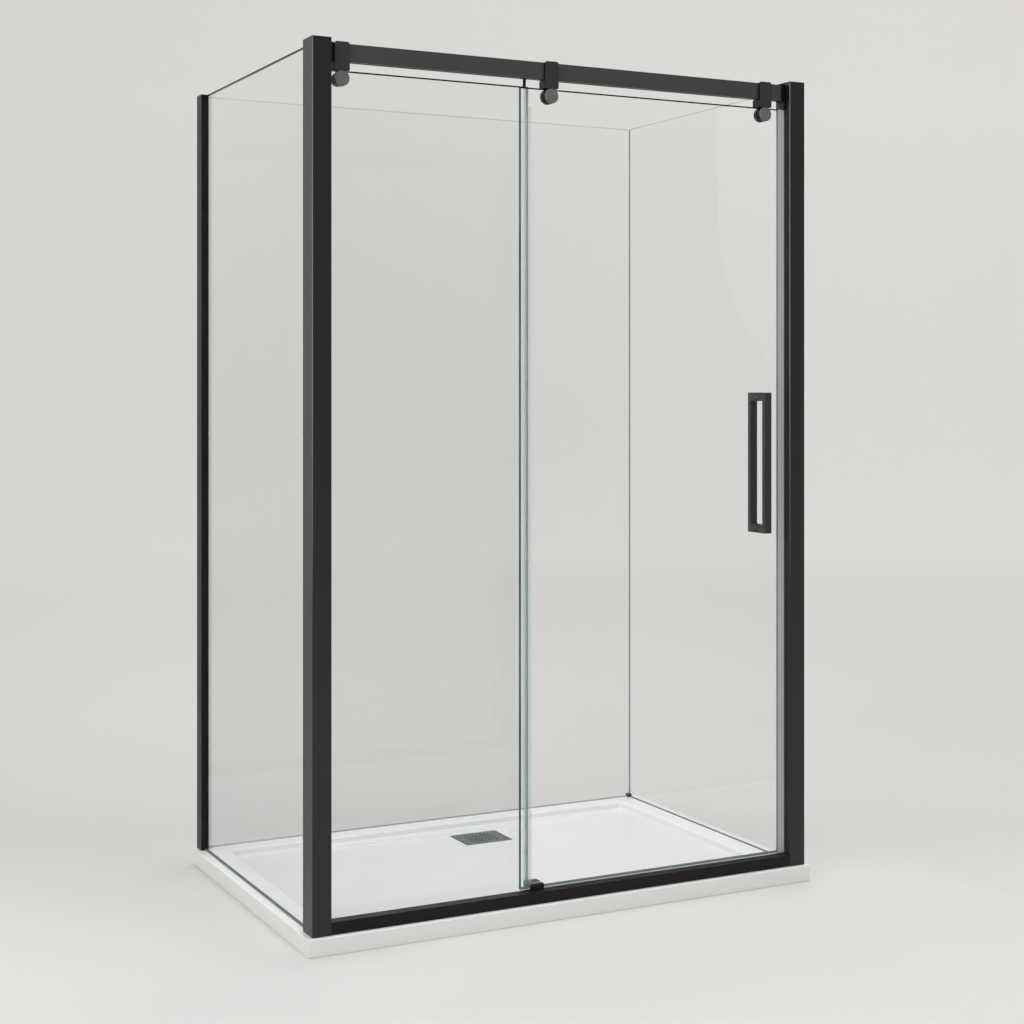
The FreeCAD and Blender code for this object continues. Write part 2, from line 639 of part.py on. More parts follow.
def make_glass():
    thick = s.glass_thick
    mid = left + side_mid
    near_end = post_back - s.channel_deep + s.pane_clear
    far_end = back - s.profile_depth + s.channel_deep - s.pane_clear
    piece("side_glass", box("side_pane", (mid - thick / 2, near_end, s.side_glass_low),
                            (mid + thick / 2, far_end, s.glass_top)))
    inner = left + s.profile_margin + s.profile_width
    outer_right = right - s.side_from_edge
    back_left = inner - s.back_channel_deep + s.edge_clear
    piece("back_glass", box("back_pane", (back_left, back_glass_rear - thick, s.back_glass_low),
                            (outer_right, back_glass_rear, s.glass_top)))
    joint_front = back_glass_rear - thick - s.joint_thick
    piece("right_glass", box("right_pane", (outer_right - thick, near_end, s.back_glass_low),
                             (outer_right, joint_front, s.glass_top)))
    piece("corner_joint", box("corner_joint", (outer_right - thick, joint_front, s.back_glass_low),
                              (outer_right, joint_front + s.joint_thick, s.glass_top)))

    fixed_y = front + s.fixed_front
    pane = box("fixed_pane", (post_left_in - s.fixed_channel_deep + s.edge_clear, fixed_y, s.fixed_low),
               (left + s.fixed_right, fixed_y + thick, s.fixed_top))
    hole = rod("fixed_hole", "Y", (left + s.hanger_fixed_at, fixed_y, disc_level), s.glass_hole, thick)
    piece("fixed_glass", cut("fixed_glass", pane, hole))

    door_y = front + s.door_front
    door = box("door_pane", (left + s.door_left, door_y, s.door_low),
               (left + s.door_right, door_y + thick, s.door_top))
    holes = [rod("door_hole", "Y", (left + at, door_y, disc_level), s.glass_hole, thick)
             for at in (s.hanger_left_at, s.hanger_right_at)]
    holes += [rod("handle_hole", "Y", (left + s.handle_at, door_y, level), s.handle_hole, thick)
              for level in handle_levels()]
    piece("door_glass", cut("door_glass", door, *holes))


def make_glass_seals():
    outer_right = right - s.side_from_edge
    thick = s.glass_thick
    inner = left + s.profile_margin + s.profile_width
    piece("back_seal", box("back_seal", (inner, back_glass_rear - thick, s.tray_height),
                           (outer_right - s.foot_block, back_glass_rear, s.back_glass_low)))
    foot_front = back_glass_rear - s.foot_block
    piece("right_seal", box("right_seal", (outer_right - thick, post_back, s.tray_height),
                            (outer_right, foot_front, s.back_glass_low)))
    # a small foot under the bonded corner, notched over both panes
    foot = box("corner_foot_block", (outer_right - s.foot_block, foot_front, s.tray_height),
               (outer_right + s.foot_channel_wall, back_glass_rear + s.foot_channel_wall,
                s.tray_height + s.foot_block_height))
    back_room = box("foot_back_room",
                    (outer_right - s.foot_block, back_glass_rear - thick, s.back_glass_low),
                    (outer_right, back_glass_rear, s.tray_height + s.foot_block_height))
    right_room = box("foot_right_room", (outer_right - thick, foot_front, s.back_glass_low),
                     (outer_right, back_glass_rear, s.tray_height + s.foot_block_height))
    piece("corner_foot", cut("corner_foot", foot, back_room, right_room))

    # the overlap seal grips the fixed glass's free edge, and its leaning fin reaches to the door
    fixed_y = front + s.fixed_front
    edge = left + s.fixed_right
    start = left + s.overlap_left
    leg = s.seal_leg
    grip = [(start, fixed_y - leg), (edge + leg, fixed_y - leg), (edge + leg, fixed_y + thick + leg),
            (start, fixed_y + thick + leg), (start, fixed_y + thick), (edge, fixed_y + thick),
            (edge, fixed_y), (start, fixed_y)]
    tip = fixed_y - s.overlap_fin
    fin = [(edge, fixed_y - leg), (edge + s.overlap_lean, tip), (edge + s.overlap_lean + leg, tip),
           (edge + leg, fixed_y - leg), (edge + leg, fixed_y), (edge, fixed_y)]
    piece("overlap_seal", joined("overlap_seal", extrusion("overlap_grip", "Z", [grip], s.overlap_low,
                                                           s.fixed_top),
                                 extrusion("overlap_fin", "Z", [fin], s.overlap_fin_low,
                                           s.overlap_fin_top)))

    # the striking strip fills the groove in the right post's inner face
    piece("strike_strip", box("strike_strip", (post_right_in + s.strike_clear, front + s.strike_front,
                                               s.sill_top + s.bead_lift),
                              (post_right_in + s.strike_deep, front + s.strike_front + s.strike_width,
                               s.rail_low - s.socket_wall)))


def make_door_seals():
    # two legs grip the door's lower edge and a fin hangs under it
    near = front + s.door_front
    rear = near + s.glass_thick
    mid = near + s.glass_thick / 2
    side = s.drip_leg
    grip_top = s.door_low + s.drip_grip
    half_fin = s.drip_fin / 2
    drip = [(near - side, grip_top), (near - side, s.drip_shoulder), (mid - half_fin, s.drip_shoulder),
            (mid - half_fin, s.drip_low), (mid + half_fin, s.drip_low), (mid + half_fin, s.drip_shoulder),
            (rear + side, s.drip_shoulder), (rear + side, grip_top), (rear, grip_top),
            (rear, s.door_low), (near, s.door_low), (near, grip_top)]
    piece("door_bottom_seal", extrusion("door_bottom_seal", "X", [drip], left + s.door_left,
                                        left + s.door_right - s.seal_grip))

    edge = left + s.door_right
    start = edge - s.seal_grip
    end = post_right_in - s.seal_end
    leg = s.seal_leg
    lip = [(start, near - leg), (end, near - leg), (end, rear + leg), (start, rear + leg),
           (start, rear), (edge, rear), (edge, near), (start, near)]
    chamber = rectangle((edge + leg, near + leg), (end - 2 * leg, rear - leg))
    piece("door_edge_seal", extrusion("door_edge_seal", "Z", [lip, chamber], s.drip_shoulder,
                                      s.door_top - s.seal_top_gap))


def hanger_solid(name, at, with_axles):
    # A plate in front of the rail, a block under it, a stem up into its slot, a tongue to the glass.
    x = left + at
    half = s.hanger_width / 2
    near = front + s.hanger_front
    plate = box(f"{name}_plate", (x - half, near, s.hanger_low),
                (x + half, near + s.hanger_plate, s.hanger_top))
    top = s.hanger_top.value
    plate = bevel(f"{name}_bevelled", plate, s.hanger_bevel,
                  lambda edge: edge.BoundBox.YLength > hair and edge.BoundBox.ZMin > top - hair
                  and edge.BoundBox.XLength < hair)
    block_top = s.rail_low - s.rail_clear
    block = box(f"{name}_block", (x - half, near, s.hanger_low),
                (x + half, front + s.hanger_back, block_top))
    stem_low = rail_mid - s.stem_thick / 2
    stem_top = s.stem_top if with_axles else s.rail_low + s.rail_flange
    stem = box(f"{name}_stem", (x - s.stem_half, stem_low, block_top),
               (x + s.stem_half, stem_low + s.stem_thick, stem_top))
    tongue = box(f"{name}_tongue", (x - s.tongue_half, front + s.tongue_front, s.tongue_low),
                 (x + s.tongue_half, front + s.door_front - s.gasket_thick, s.hanger_low))
    parts = [plate, block, stem, tongue]
    if not with_axles:
        foot_low = stem_top
        parts.append(box(f"{name}_foot", (x - s.stem_half, rail_mid - s.stem_thick, foot_low),
                         (x + s.stem_half, rail_mid + s.stem_thick, foot_low + s.stem_thick)))
    holes = [rod(f"{name}_bolt_hole", "Y", (x, front + s.tongue_front, disc_level), s.bolt_radius,
                 s.door_front - s.tongue_front)]
    if with_axles:
        holes += [rod(f"{name}_axle_hole", "Y", (x + spot, stem_low, wheel_level), s.axle_radius,
                      s.stem_thick) for spot in wheel_spots()]
    return cut(name, joined(f"{name}_whole", *parts), *holes)


def wheel_spots():
    return [-s.wheel_spread / 2, s.wheel_spread / 2]


def front_disc(name, at):
    # The round front clamp, with a slot behind for the hanger's tongue and a blind bolt hole.
    x = left + at
    start = front + s.hanger_front + s.disc_step
    end = front + s.door_front - s.gasket_thick
    disc = rod(f"{name}_round", "Y", (x, start, disc_level), s.disc_radius, end - start)
    doc.recompute()
    face = start.value
    disc = bevel(f"{name}_edge", disc, s.disc_edge,
                 lambda edge: edge.BoundBox.YMax < face + hair and edge.BoundBox.XLength > hair)
    slot = box(f"{name}_slot", (x - s.tongue_half, front + s.tongue_front, s.tongue_low),
               (x + s.tongue_half, end, s.hanger_low))
    hole = rod(f"{name}_hole", "Y", (x, front + s.bolt_front, disc_level), s.bolt_radius,
               s.tongue_front - s.bolt_front)
    return cut(name, disc, slot, hole)


def rear_disc(name, at, start, radius, thick):
    x = left + at
    disc = rod(f"{name}_round", "Y", (x, start, disc_level), radius, thick)
    doc.recompute()
    face = (start + thick).value
    disc = bevel(f"{name}_edge", disc, s.disc_edge,
                 lambda edge: edge.BoundBox.YMin > face - hair and edge.BoundBox.XLength > hair)
    hole = rod(f"{name}_hole", "Y", (x, start, disc_level), s.bolt_radius, thick - s.disc_floor)
    return cut(name, disc, hole)


def make_door_hangers():
    door_y = front + s.door_front
    rear_y = door_y + s.glass_thick
    gaskets, bolts, axles = [], [], []
    wheel = 0
    for side, at in (("left", s.hanger_left_at), ("right", s.hanger_right_at)):
        x = left + at
        piece(f"door_hanger_{side}", hanger_solid(f"door_hanger_{side}", at, True))
        piece(f"front_disc_{side}", front_disc(f"front_disc_{side}", at))
        rear_start = rear_y + s.gasket_thick
        piece(f"rear_disc_{side}", rear_disc(f"rear_disc_{side}", at, rear_start, s.disc_radius,
                                             s.rear_disc_thick))
        for y in (door_y - s.gasket_thick, rear_y):
            gaskets.append(ring("disc_gasket", "Y", (x, y, disc_level), s.disc_radius - s.gasket_inset,
                                s.bolt_radius, s.gasket_thick))
        bolts.append(rod("disc_bolt", "Y", (x, front + s.bolt_front, disc_level), s.bolt_radius,
                         rear_start + s.rear_disc_thick - s.disc_floor - front - s.bolt_front))
        for spot in wheel_spots():
            wheel += 1
            low_y = rail_mid - s.rail_depth / 2 + s.rail_wall + s.wheel_gap
            high_y = rail_mid + s.rail_depth / 2 - s.rail_wall - s.wheel_gap - s.wheel_width
            pair = [ring(f"wheel_{wheel}", "Y", (x + spot, y, wheel_level), s.wheel_radius,
                         s.axle_radius + s.axle_clear, s.wheel_width) for y in (low_y, high_y)]
            piece(f"roller_pair_{wheel}", group(f"rollers_{wheel}", *pair))
            axles.append(rod("axle", "Y", (x + spot, low_y, wheel_level), s.axle_radius,
                             high_y + s.wheel_width - low_y))
    piece("disc_gaskets", group("door_gaskets", *gaskets))
    piece("disc_bolts", group("door_bolts", *bolts))
    piece("roller_axles", group("door_axles", *axles))


def make_fixed_clamp():
    # The fixed hanger reaches back to the fixed glass with a spacer behind its front disc.
    at = s.hanger_fixed_at
    x = left + at
    fixed_y = front + s.fixed_front
    piece("fixed_hanger", hanger_solid("fixed_hanger", at, False))
    piece("fixed_disc_front", front_disc("fixed_disc_front", at))
    piece("fixed_disc_rear", rear_disc("fixed_disc_rear", at, fixed_y + s.glass_thick, s.fixed_nut_radius,
                                       s.fixed_nut_thick))
    start = front + s.door_front - s.gasket_thick
    piece("fixed_spacer", ring("fixed_spacer", "Y", (x, start, disc_level), s.spacer_radius, s.bolt_radius,
                               fixed_y - start))
    bolt_end = fixed_y + s.glass_thick + s.fixed_nut_thick - s.disc_floor
    piece("fixed_clamp_bolt", rod("fixed_bolt", "Y", (x, front + s.bolt_front, disc_level), s.bolt_radius,
                                  bolt_end - front - s.bolt_front))

    # a slim pin holds the top of the fixed glass from an arm behind the rail
    pin_x = left + s.pin_at
    pin_y = fixed_y + s.glass_thick / 2
    rail_rear = front + s.rail_front + s.rail_depth
    arm_low = s.rail_low + s.pin_arm
    pin = rod("pin", "Z", (pin_x, pin_y, s.fixed_top), s.pin_radius, arm_low - s.fixed_top)
    arm = box("pin_arm", (pin_x - s.pin_plate / 2, rail_rear, arm_low),
              (pin_x + s.pin_plate / 2, fixed_y + s.glass_thick, arm_low + s.pin_arm))
    plate = box("pin_plate", (pin_x - s.pin_plate / 2, rail_rear, arm_low),
                (pin_x + s.pin_plate / 2, rail_rear + s.pin_arm, arm_low + s.pin_plate))
    piece("glass_top_pin", joined("glass_top_pin", pin, arm, plate))


def handle_levels():
    return [s.handle_low + s.handle_arm / 2, s.handle_low + s.handle_height - s.handle_arm / 2]


def make_handle():
    x = left + s.handle_at
    half = s.handle_width / 2
    low, top = s.handle_low, s.handle_low + s.handle_height
    door_mid = front + s.door_front + s.glass_thick / 2
    glass_half = s.glass_thick / 2 + s.washer_thick
    for side, inward, reach in (("front", -1, s.handle_reach_front), ("rear", 1, s.handle_reach_rear)):
        face = door_mid + inward * glass_half
        bar_in, bar_out = door_mid + inward * (reach - s.handle_bar), door_mid + inward * reach
        outline = [(face, low), (bar_out, low), (bar_out, top), (face, top), (face, top - s.handle_arm),
                   (bar_in, top - s.handle_arm), (bar_in, low + s.handle_arm), (face, low + s.handle_arm)]
        body = extrusion(f"handle_{side}_bar", "X", [outline], x - half, x + half)
        outer = bar_out.value
        round_edges(body, s.handle_edge, lambda edge, outer=outer: abs(edge.BoundBox.YMin - outer) < hair
                    and abs(edge.BoundBox.YMax - outer) < hair)
        hole_start = face - s.handle_bolt_deep if inward < 0 else face
        holes = [rod(f"handle_{side}_hole", "Y", (x, hole_start, level), s.handle_bolt, s.handle_bolt_deep)
                 for level in handle_levels()]
        piece(f"handle_{side}", cut(f"handle_{side}", body, *holes))
    bolts, washers = [], []
    for level in handle_levels():
        start = door_mid - glass_half - s.handle_bolt_deep
        bolts.append(rod("handle_bolt", "Y", (x, start, level), s.handle_bolt,
                         2 * (glass_half + s.handle_bolt_deep)))
        for y in (door_mid - glass_half, door_mid + s.glass_thick / 2):
            washers.append(ring("handle_washer", "Y", (x, y, level), s.handle_arm / 2 - s.washer_inset,
                                s.handle_bolt, s.washer_thick))
    piece("handle_bolts", group("handle_bolt_set", *bolts))
    piece("handle_washers", group("handle_washer_set", *washers))


def make_guide():
    # The block stands on the sill and its rear flange; the door runs in its front slot and the
    # fixed glass ends in its rear pocket.
    x0 = left + s.guide_left
    x1 = x0 + s.guide_width
    near, rear = front + s.guide_front, front + s.guide_back
    step = front + s.sill_front + s.sill_depth
    outline = [(near, s.sill_top), (step, s.sill_top), (step, s.gutter_lip), (rear, s.gutter_lip),
               (rear, s.guide_top), (near + s.guide_bevel, s.guide_top),
               (near, s.guide_top - s.guide_bevel)]
    block = extrusion("guide_block", "X", [outline], x0, x1)
    slot_y = front + s.door_front + s.glass_thick / 2 - s.guide_slot / 2
    slot_low = s.sill_top + s.guide_web
    slot = box("guide_slot", (x0, slot_y, slot_low), (x1, slot_y + s.guide_slot, s.guide_top))
    fixed_y = front + s.fixed_front
    edge = left + s.fixed_right + s.overlap_lean + s.seal_leg + s.guide_play
    pocket_room = box("guide_pocket", (x0, slot_y + s.guide_slot, s.gutter_lip),
                      (edge, fixed_y + s.glass_thick + s.seal_leg + s.gutter_clear, s.guide_top))
    piece("door_guide", cut("door_guide", block, slot, pocket_room))
    strips = [box("liner_front", (x0, slot_y, slot_low), (x1, slot_y + s.liner_thick, s.guide_top)),
              box("liner_rear", (edge, slot_y + s.guide_slot - s.liner_thick, slot_low),
                  (x1, slot_y + s.guide_slot, s.guide_top))]
    piece("guide_liner", group("guide_liner_strips", *strips))


def check_and_write():
    doc.recompute()
    for thing in doc.Objects:
        if {"Invalid", "Error"} & set(thing.State):
            raise RuntimeError(f"{thing.Label} is {thing.State}")
    for label, solid in pieces.items():
        shape = solid.Shape
        if shape.isNull() or not shape.isValid() or shape.Volume <= 0:
            raise RuntimeError(f"{label} has no valid shape")
    os.makedirs("parts", exist_ok=True)
    for label, solid in pieces.items():
        solid.Shape.exportStep(f"parts/{label}.step")
        print(f"{label}: {len(solid.Shape.Solids)} solids, {solid.Shape.Volume / 1000:.1f} cm3")
    print(f"{len(pieces)} sub-parts")


make_tray()
make_waste()
make_posts()
make_corner_profile()
make_beads()
make_sill()
make_rail()
make_glass()
make_glass_seals()
make_door_seals()
make_door_hangers()
make_fixed_clamp()
make_handle()
make_guide()
check_and_write()
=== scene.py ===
import math

import bpy
import numpy as np
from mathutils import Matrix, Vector


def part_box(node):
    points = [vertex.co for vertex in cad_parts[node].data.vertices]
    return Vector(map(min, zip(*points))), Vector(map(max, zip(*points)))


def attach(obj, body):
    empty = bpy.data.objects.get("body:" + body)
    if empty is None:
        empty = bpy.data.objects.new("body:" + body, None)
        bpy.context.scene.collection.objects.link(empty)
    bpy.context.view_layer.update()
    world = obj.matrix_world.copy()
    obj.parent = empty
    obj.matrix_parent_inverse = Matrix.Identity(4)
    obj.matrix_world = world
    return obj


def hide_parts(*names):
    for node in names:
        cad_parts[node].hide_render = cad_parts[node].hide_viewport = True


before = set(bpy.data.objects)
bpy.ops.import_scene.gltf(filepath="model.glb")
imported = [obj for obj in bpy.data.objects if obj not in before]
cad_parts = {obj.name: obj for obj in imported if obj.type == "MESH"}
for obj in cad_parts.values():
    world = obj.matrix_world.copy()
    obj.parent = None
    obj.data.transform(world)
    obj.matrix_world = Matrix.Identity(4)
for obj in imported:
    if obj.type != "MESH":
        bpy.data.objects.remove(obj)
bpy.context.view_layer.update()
scene = bpy.context.scene
print("frame loaded")


def nodeObject(name):
    return bpy.data.objects[name]


def setMaterial(name, material):
    # a CAD node keeps its mesh and gets a better material in every slot
    meshData = nodeObject(name).data
    if not meshData.materials:
        meshData.materials.append(material)
    for index in range(len(meshData.materials)):
        meshData.materials[index] = material


class Nodes:
    # a short way to write a node tree
    def __init__(self, name):
        self.material = bpy.data.materials.new(name)
        self.material.use_nodes = True
        self.tree = self.material.node_tree
        self.tree.nodes.clear()
        self.output = self.tree.nodes.new("ShaderNodeOutputMaterial")

    def add(self, kind, inputs=None, **settings):
        node = self.tree.nodes.new("ShaderNode" + kind)
        for key, value in settings.items():
            setattr(node, key, value)
        for key, value in (inputs or {}).items():
            self.feed(node.inputs[key], value)
        return node

    def feed(self, socket, value):
        if isinstance(value, bpy.types.NodeSocket):
            self.tree.links.new(value, socket)
        else:
            socket.default_value = value

    def finish(self, shader):
        self.feed(self.output.inputs["Surface"], shader)
        return self.material

    def place(self, scale=(1, 1, 1)):
        coordinates = self.add("TexCoord").outputs["Object"]
        return self.add("Mapping", {"Vector": coordinates, "Scale": scale}).outputs["Vector"]

    def axis(self, number, kind="Object"):
        coordinates = self.add("TexCoord").outputs[kind]
        return self.add("SeparateXYZ", {0: coordinates}).outputs[number]

    def noise(self, vector, scale, detail=3, roughness=0.5):
        return self.add("TexNoise", {"Vector": vector, "Scale": scale, "Detail": detail,
                                     "Roughness": roughness}).outputs["Fac"]

    def ramp(self, value, low, high, fromLow=0.0, fromHigh=1.0, smooth=False):
        node = self.add("MapRange", {"Value": value, "From Min": fromLow, "From Max": fromHigh,
                                     "To Min": low, "To Max": high})
        if smooth:
            node.interpolation_type = "SMOOTHSTEP"
        return node.outputs["Result"]

    def mixColour(self, factor, first, second):
        node = self.add("Mix", data_type="RGBA")
        self.feed(node.inputs["Factor"], factor)
        self.feed(node.inputs[6], first)
        self.feed(node.inputs[7], second)
        return node.outputs[2]

    def maths(self, operation, first, second=0.0):
        node = self.add("Math", operation=operation)
        self.feed(node.inputs[0], first)
        self.feed(node.inputs[1], second)
        return node.outputs[0]

    def bump(self, height, strength, distance):
        return self.add("Bump", {"Height": height, "Strength": strength,
                                 "Distance": distance}).outputs["Normal"]

    def fromOutline(self, node, axes):
        # the distance in metres from a point to the nearest side of a CAD node's box, along two axes
        low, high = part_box(node)
        nearest = None
        for number in axes:
            value = self.axis(number)
            for gap in (self.maths("SUBTRACT", value, float(low[number])),
                        self.maths("SUBTRACT", float(high[number]), value)):
                nearest = gap if nearest is None else self.maths("MINIMUM", nearest, gap)
        return nearest


def linear(red, green, blue):
    # a display colour from 0 to 255 as the renderer's own light value
    values = []
    for part in (red, green, blue):
        share = part / 255
        values.append(share / 12.92 if share <= 0.04045 else ((share + 0.055) / 1.055) ** 2.4)
    return (*values, 1.0)


def shaded(colour, factor):
    return (*[min(1.0, part * factor) for part in colour[:3]], 1.0)


coatValues = {
    "colour": linear(17, 17, 16), "worn": linear(24, 24, 23), "roughness": 0.34, "ior": 1.5,
    # a painted highlight down a front left corner, pale at its head and fading to its foot between two heights
    "cornerHighlightColour": linear(124, 124, 121), "cornerHighlightFoot": linear(16, 16, 16), "cornerWidth": 0.0018,
    "cornerFadeLow": 0.75, "cornerFadeHigh": 1.25, "cornerBlend": 0.6,
    # the cloudy wear: how much of it shows, and the cloud's levels between which it grows
    "wornShare": 0.35, "cloudLow": 0.35, "cloudHigh": 0.75, "cloudScale": 7.0, "cloudDetail": 4,
    "grainScale": 2600.0, "grainDetail": 2, "bumpDepth": 0.00005, "bumpStrength": 0.25,
    # what clouds and grain add to the roughness, from their least to their most
    "cloudShine": (-0.05, 0.06), "grainShine": (-0.03, 0.03),
    # painted shade: a side is left-facing, and painted darker, where its normal's X goes from the second value
    # to the first
    "leftFull": -0.9, "leftNone": -0.3,
}


def powderCoat(name, colour=None, worn=None, roughness=None, sideShadeColour=None, highlightCornerOf=None, ior=None):
    # fine orange-peel grain and a faint cloudy sheen; left-facing sides may get painted shade, and a bar's
    # front left corner may get a painted highlight
    v = coatValues
    n = Nodes(name)
    place = n.place()
    cloud = n.noise(place, v["cloudScale"], v["cloudDetail"])
    grain = n.noise(place, v["grainScale"], v["grainDetail"])
    wear = n.ramp(cloud, 0.0, v["wornShare"], v["cloudLow"], v["cloudHigh"])
    base = n.mixColour(wear, colour or v["colour"], worn or v["worn"])
    # painted shade: left-facing sides take a darker colour
    if sideShadeColour:
        toShadedLeft = n.ramp(n.axis(0, "Normal"), 1.0, 0.0, v["leftFull"], v["leftNone"])
        base = n.mixColour(toShadedLeft, base, sideShadeColour)
    # painted highlight: a pale line down the bar's front left corner, fading towards its foot
    if highlightCornerOf:
        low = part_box(highlightCornerOf)[0]
        reach = n.maths("MAXIMUM", n.maths("SUBTRACT", n.axis(0), float(low[0])),
                        n.maths("SUBTRACT", n.axis(1), float(low[1])))
        cornerHighlight = n.ramp(reach, 1.0, 0.0, v["cornerWidth"] * v["cornerBlend"], v["cornerWidth"])
        toHead = n.ramp(n.axis(2), 0.0, 1.0, v["cornerFadeLow"], v["cornerFadeHigh"])
        base = n.mixColour(cornerHighlight, base, n.mixColour(toHead, v["cornerHighlightFoot"], v["cornerHighlightColour"]))
    shine = n.maths("ADD", n.ramp(cloud, *v["cloudShine"]), n.ramp(grain, *v["grainShine"]))
    rough = n.maths("ADD", shine, roughness or v["roughness"])
    shader = n.add("BsdfPrincipled", {
        "Base Color": base, "Roughness": rough, "IOR": ior or v["ior"],
        "Normal": n.bump(grain, v["bumpStrength"], v["bumpDepth"])})
    return n.finish(shader.outputs[0])


glassValues = {
    "ior": 1.3, "shadowTint": (0.975, 0.985, 0.98, 1.0),
    # a breath of haze and a faint smear: scale, detail, strength and the noise levels they grow between
    "hazeScale": 1.1, "hazeDetail": 4, "hazeDepth": 0.02, "hazeStretch": (1, 1, 0.6), "hazeBand": (0.3, 0.7),
    "smearScale": 2.2, "smearDetail": 5, "smearRoughness": 0.012, "smearBand": (0.45, 0.8),
    # the cut edge: fine streaks along it, its gloss, and how square to the face a normal has to be
    "streakScale": 40, "streakDetail": 3, "streakStretch": (1, 1, 0.2), "streakBand": (0.3, 0.7),
    "streakShare": 0.6, "edgeRoughness": (0.16, 0.24), "edgeIor": 1.22, "faceLimit": 0.6,
    "edgeColour": linear(50, 84, 80), "edgeLight": linear(98, 132, 128),
    "topReflectionColour": linear(20, 26, 26),
    "faintColour": linear(200, 206, 204), "faintLight": linear(214, 219, 217),
    # each pane's tint at its foot and head, paler towards the head as a painted reflection, the widths of its
    # cut edge and of its dark top line, a painted reflection too, the axis through it and whether its edges
    # are dark
    "panes": {
        "side_glass": ((0.874, 0.888, 0.882), (0.961, 0.976, 0.970), 0.0022, 0.0038, 0, True),
        "fixed_glass": ((0.868, 0.883, 0.876), (0.961, 0.976, 0.968), 0.0018, 0.0025, 1, True),
        "door_glass": ((0.955, 0.965, 0.961), (1.0, 1.0, 1.0), 0.0018, 0.0025, 1, True),
        "back_glass": ((0.960, 0.968, 0.966), (0.988, 0.995, 0.993), 0.0004, 0.0004, 1, False),
        "right_glass": ((1.0, 1.0, 1.0), (1.0, 1.0, 1.0), 0.0004, 0.0004, 0, False),
    },
}


def paneGlass(node):
    # clear faces that let lamps through, and a green polished rim where the pane is cut
    v = glassValues
    footTint, headReflectionTint, rim, topRim, thinAxis, dark = v["panes"][node]
    n = Nodes("paneOf_" + node)
    low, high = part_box(node)
    haze = n.noise(n.place(v["hazeStretch"]), v["hazeScale"], v["hazeDetail"])
    height = n.ramp(n.axis(2), 0.0, 1.0, float(low[2]), float(high[2]))
    # painted reflection: the pane's tint grades from its foot up to its paler head
    pale = n.mixColour(height, (*footTint, 1.0), (*headReflectionTint, 1.0))
    pale = n.mixColour(n.ramp(haze, 0.0, v["hazeDepth"], *v["hazeBand"]), pale, v["edgeLight"])
    smear = n.noise(n.place(), v["smearScale"], v["smearDetail"])
    face = n.add("BsdfPrincipled", {
        "Base Color": pale, "Roughness": n.ramp(smear, 0.0, v["smearRoughness"], *v["smearBand"]),
        "IOR": v["ior"], "Transmission Weight": 1.0})
    clear = n.add("BsdfTransparent", {"Color": v["shadowTint"]})
    shadow = n.add("LightPath").outputs["Is Shadow Ray"]
    pane = n.add("MixShader", {0: shadow, 1: face.outputs[0], 2: clear.outputs[0]})

    deep, light = ("edgeColour", "edgeLight") if dark else ("faintColour", "faintLight")
    streaks = n.noise(n.place(v["streakStretch"]), v["streakScale"], v["streakDetail"])
    edgeTint = n.mixColour(n.ramp(streaks, 0.0, v["streakShare"], *v["streakBand"]), v[deep], v[light])
    inside = n.maths("GREATER_THAN", n.fromOutline(node, (1 - thinAxis, 2)), rim)
    # painted reflection: a dark band on the faces just below the pane's top stands for its top edge seen
    # through the glass
    if dark:
        belowTop = n.maths("LESS_THAN", n.axis(2), float(high[2]) - topRim)
        edgeTint = n.mixColour(belowTop, v["topReflectionColour"], edgeTint)
        inside = n.maths("MULTIPLY", inside, belowTop)
    edge = n.add("BsdfPrincipled", {"Base Color": edgeTint, "IOR": v["edgeIor"],
                                    "Roughness": n.ramp(streaks, *v["edgeRoughness"])})
    across = n.maths("ABSOLUTE", n.axis(thinAxis, "Normal"))
    isFace = n.maths("GREATER_THAN", across, v["faceLimit"])
    both = n.add("MixShader", {0: n.maths("MULTIPLY", isFace, inside), 1: edge.outputs[0],
                               2: pane.outputs[0]})
    return n.finish(both.outputs[0])


sealValues = {
    "drawScale": 900, "drawDetail": 2, "drawStretch": (1, 1, 0.02), "drawBand": (0.3, 0.7), "drawShare": 0.5,
    "drawShade": 0.85, "opacitySpread": 0.05, "roughness": 0.22, "glossier": 0.05, "duller": 0.08,
    "ior": 1.47, "bumpStrength": 0.2, "bumpDepth": 0.00008, "clearTint": (0.96, 0.975, 0.97, 1.0),
    # hollow chambers as soft stripes this wide in metres, with their shade and edges
    "stripe": 0.0055, "chamberShade": 0.66, "chamberBand": (-0.3, 0.5),
    # the painted highlight: its look, and how far it reaches above the glass's lower edge
    "highlightWhite": linear(252, 253, 253), "highlightOpacity": 0.9, "highlightRise": 0.0004,
}


